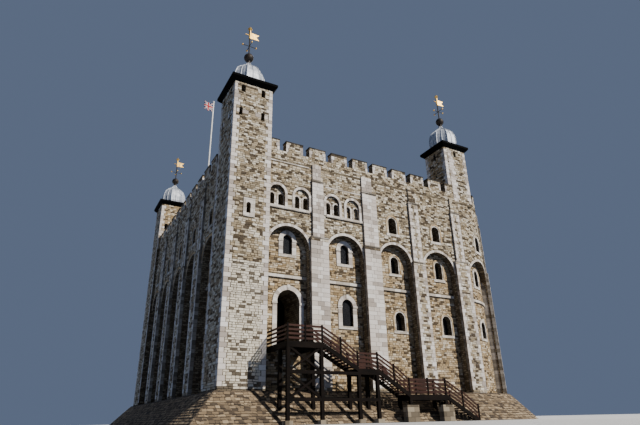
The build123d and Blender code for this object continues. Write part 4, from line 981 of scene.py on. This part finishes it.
def arm_knobs():
    """Balls at the ends of the arms of each finial: rings by latitude and longitude, between two poles."""
    latitude = np.linspace(0, math.pi, KNOB_RINGS + 2)[1:-1]
    longitude = np.linspace(0, 2 * math.pi, KNOB_SIDES, endpoint=False)
    theta, phi = (a.ravel() for a in np.meshgrid(latitude, longitude, indexing="ij"))
    rings = np.stack([np.sin(theta) * np.cos(phi), np.sin(theta) * np.sin(phi), np.cos(theta)], -1)
    ball = np.concatenate([rings, [(0, 0, 1), (0, 0, -1)]]) * KNOB_RADIUS
    grid = np.arange(len(rings)).reshape(KNOB_RINGS, KNOB_SIDES)
    beside = np.roll(grid, -1, axis=1)
    top, foot = np.full(KNOB_SIDES, len(rings)), np.full(KNOB_SIDES, len(rings) + 1)
    head_cap = np.stack([top, grid[0], beside[0]], -1)
    foot_cap = np.stack([foot, beside[-1], grid[-1]], -1)
    near = np.stack([grid[:-1], grid[1:], beside[1:]], -1).reshape(-1, 3)
    far = np.stack([grid[:-1], beside[1:], beside[:-1]], -1).reshape(-1, 3)
    faces = np.concatenate([near, far, head_cap, foot_cap])
    middles = np.array([(x - CENTRE_X + ARM_LENGTH * a, y - CENTRE_Y + ARM_LENGTH * b, ARM_LEVEL)
                        for x, y in TURRETS for a, b in ARM_WAYS])
    points = (middles[:, None] + ball).reshape(-1, 3) * REAL
    every = faces[None] + len(ball) * np.arange(len(middles))[:, None, None]
    surface("arm_knobs", points, every.reshape(-1, 3), gilding, smooth=True)


arm_knobs()

# Flag: flies from the pole at a bearing, with a wave that grows from the hoist
POLE = np.array([1.95 - CENTRE_X, 15.0 - CENTRE_Y])
FLAG_TOP, FLAG_HOIST, FLAG_FLY, FLAG_WAVE, FLAG_BEARING, POLE_RADIUS = 38.1, 1.2, 1.15, 0.1, 190.0, 0.09
FLAG_STEPS, FLAG_SAG, CLOTH_THICKNESS = (49, 33), 0.03, 0.0006
HALF_WAVES, WAVE_GROWTH, WAVE_TWIST, WAVE_SHARE = 3, 3, 0.5, 0.9


def flag_cloth():
    """Sheet whose height runs down the hoist; its side step is a sine of the fly that grows from the pole."""
    s, t = np.meshgrid(*(np.linspace(0, 1, steps) for steps in FLAG_STEPS), indexing="ij")
    reach = POLE_RADIUS + FLAG_FLY * s
    swing = np.sin(HALF_WAVES * math.pi * s + WAVE_TWIST * t)
    side = FLAG_WAVE * np.minimum(WAVE_GROWTH * s, 1) * swing * WAVE_SHARE
    turn = math.radians(FLAG_BEARING)
    x = POLE[0] + reach * math.cos(turn) - side * math.sin(turn)
    y = POLE[1] + reach * math.sin(turn) + side * math.cos(turn)
    z = FLAG_TOP - FLAG_HOIST * t - FLAG_SAG * s
    z = np.clip(z, FLAG_TOP - FLAG_HOIST, FLAG_TOP)
    points = np.stack([x, y, z], -1).reshape(-1, 3) * REAL
    grid = np.arange(s.size).reshape(s.shape)
    faces = np.stack([grid[:-1, :-1], grid[1:, :-1], grid[1:, 1:], grid[:-1, 1:]], -1).reshape(-1, 4)
    cloth = surface("flag_cloth", points, faces, flag_finish(), smooth=True)
    layer = cloth.data.uv_layers.new(name="cloth_map")
    uv = np.stack([s.ravel(), 1 - t.ravel()], -1)[faces.ravel()]
    layer.data.foreach_set("uv", uv.astype(np.float32).ravel())
    thick = cloth.modifiers.new("cloth_thickness", "SOLIDIFY")
    thick.thickness, thick.offset = CLOTH_THICKNESS, 0
    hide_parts("flag")


flag_cloth()

# Plain pale floor and soft studio light: way, strength, softness and colour of each sun
KEY = ((-0.62, 1.0, -0.86), 5.4, 0.03, (1.0, 0.95, 0.87))
FILL = ((-0.7, -0.9, -0.6), 1.3, 0.8, (0.95, 0.97, 1.0))
SURROUND_COLOR, SURROUND_STRENGTH = (0.42, 0.55, 0.86, 1), 0.26
FLOOR_REACH = 60.0


def sun(name, way, strength, softness, color):
    """A sun whose light runs along a way."""
    data = bpy.data.lights.new(name, "SUN")
    data.energy, data.angle, data.color = strength, softness, color
    lamp = bpy.data.objects.new(name, data)
    lamp.rotation_mode = "QUATERNION"
    lamp.rotation_quaternion = Vector(way).to_track_quat("-Z", "Y")
    scene.collection.objects.link(lamp)


def studio():
    """Pale floor, a key light from the right, a soft one from behind and an even surround."""
    r = FLOOR_REACH
    mesh = bpy.data.meshes.new("floor")
    mesh.from_pydata([(-r, -r, 0), (r, -r, 0), (r, r, 0), (-r, r, 0)], [], [(0, 1, 2, 3)])
    floor = bpy.data.objects.new("floor", mesh)
    scene.collection.objects.link(floor)
    floor.visible_diffuse = False
    pale = Shader("pale_floor")
    cloud = pale.noise((2, 2, 2), 3)
    mesh.materials.append(pale.finish(pale.mix(cloud, srgb(206, 206, 204), srgb(214, 214, 212)), 0.9))
    sun("key", *KEY)
    sun("fill", *FILL)
    world = bpy.data.worlds.new("surround")
    world.use_nodes = True
    world.node_tree.nodes["Background"].inputs["Color"].default_value = SURROUND_COLOR
    world.node_tree.nodes["Background"].inputs["Strength"].default_value = SURROUND_STRENGTH
    scene.world = world


studio()
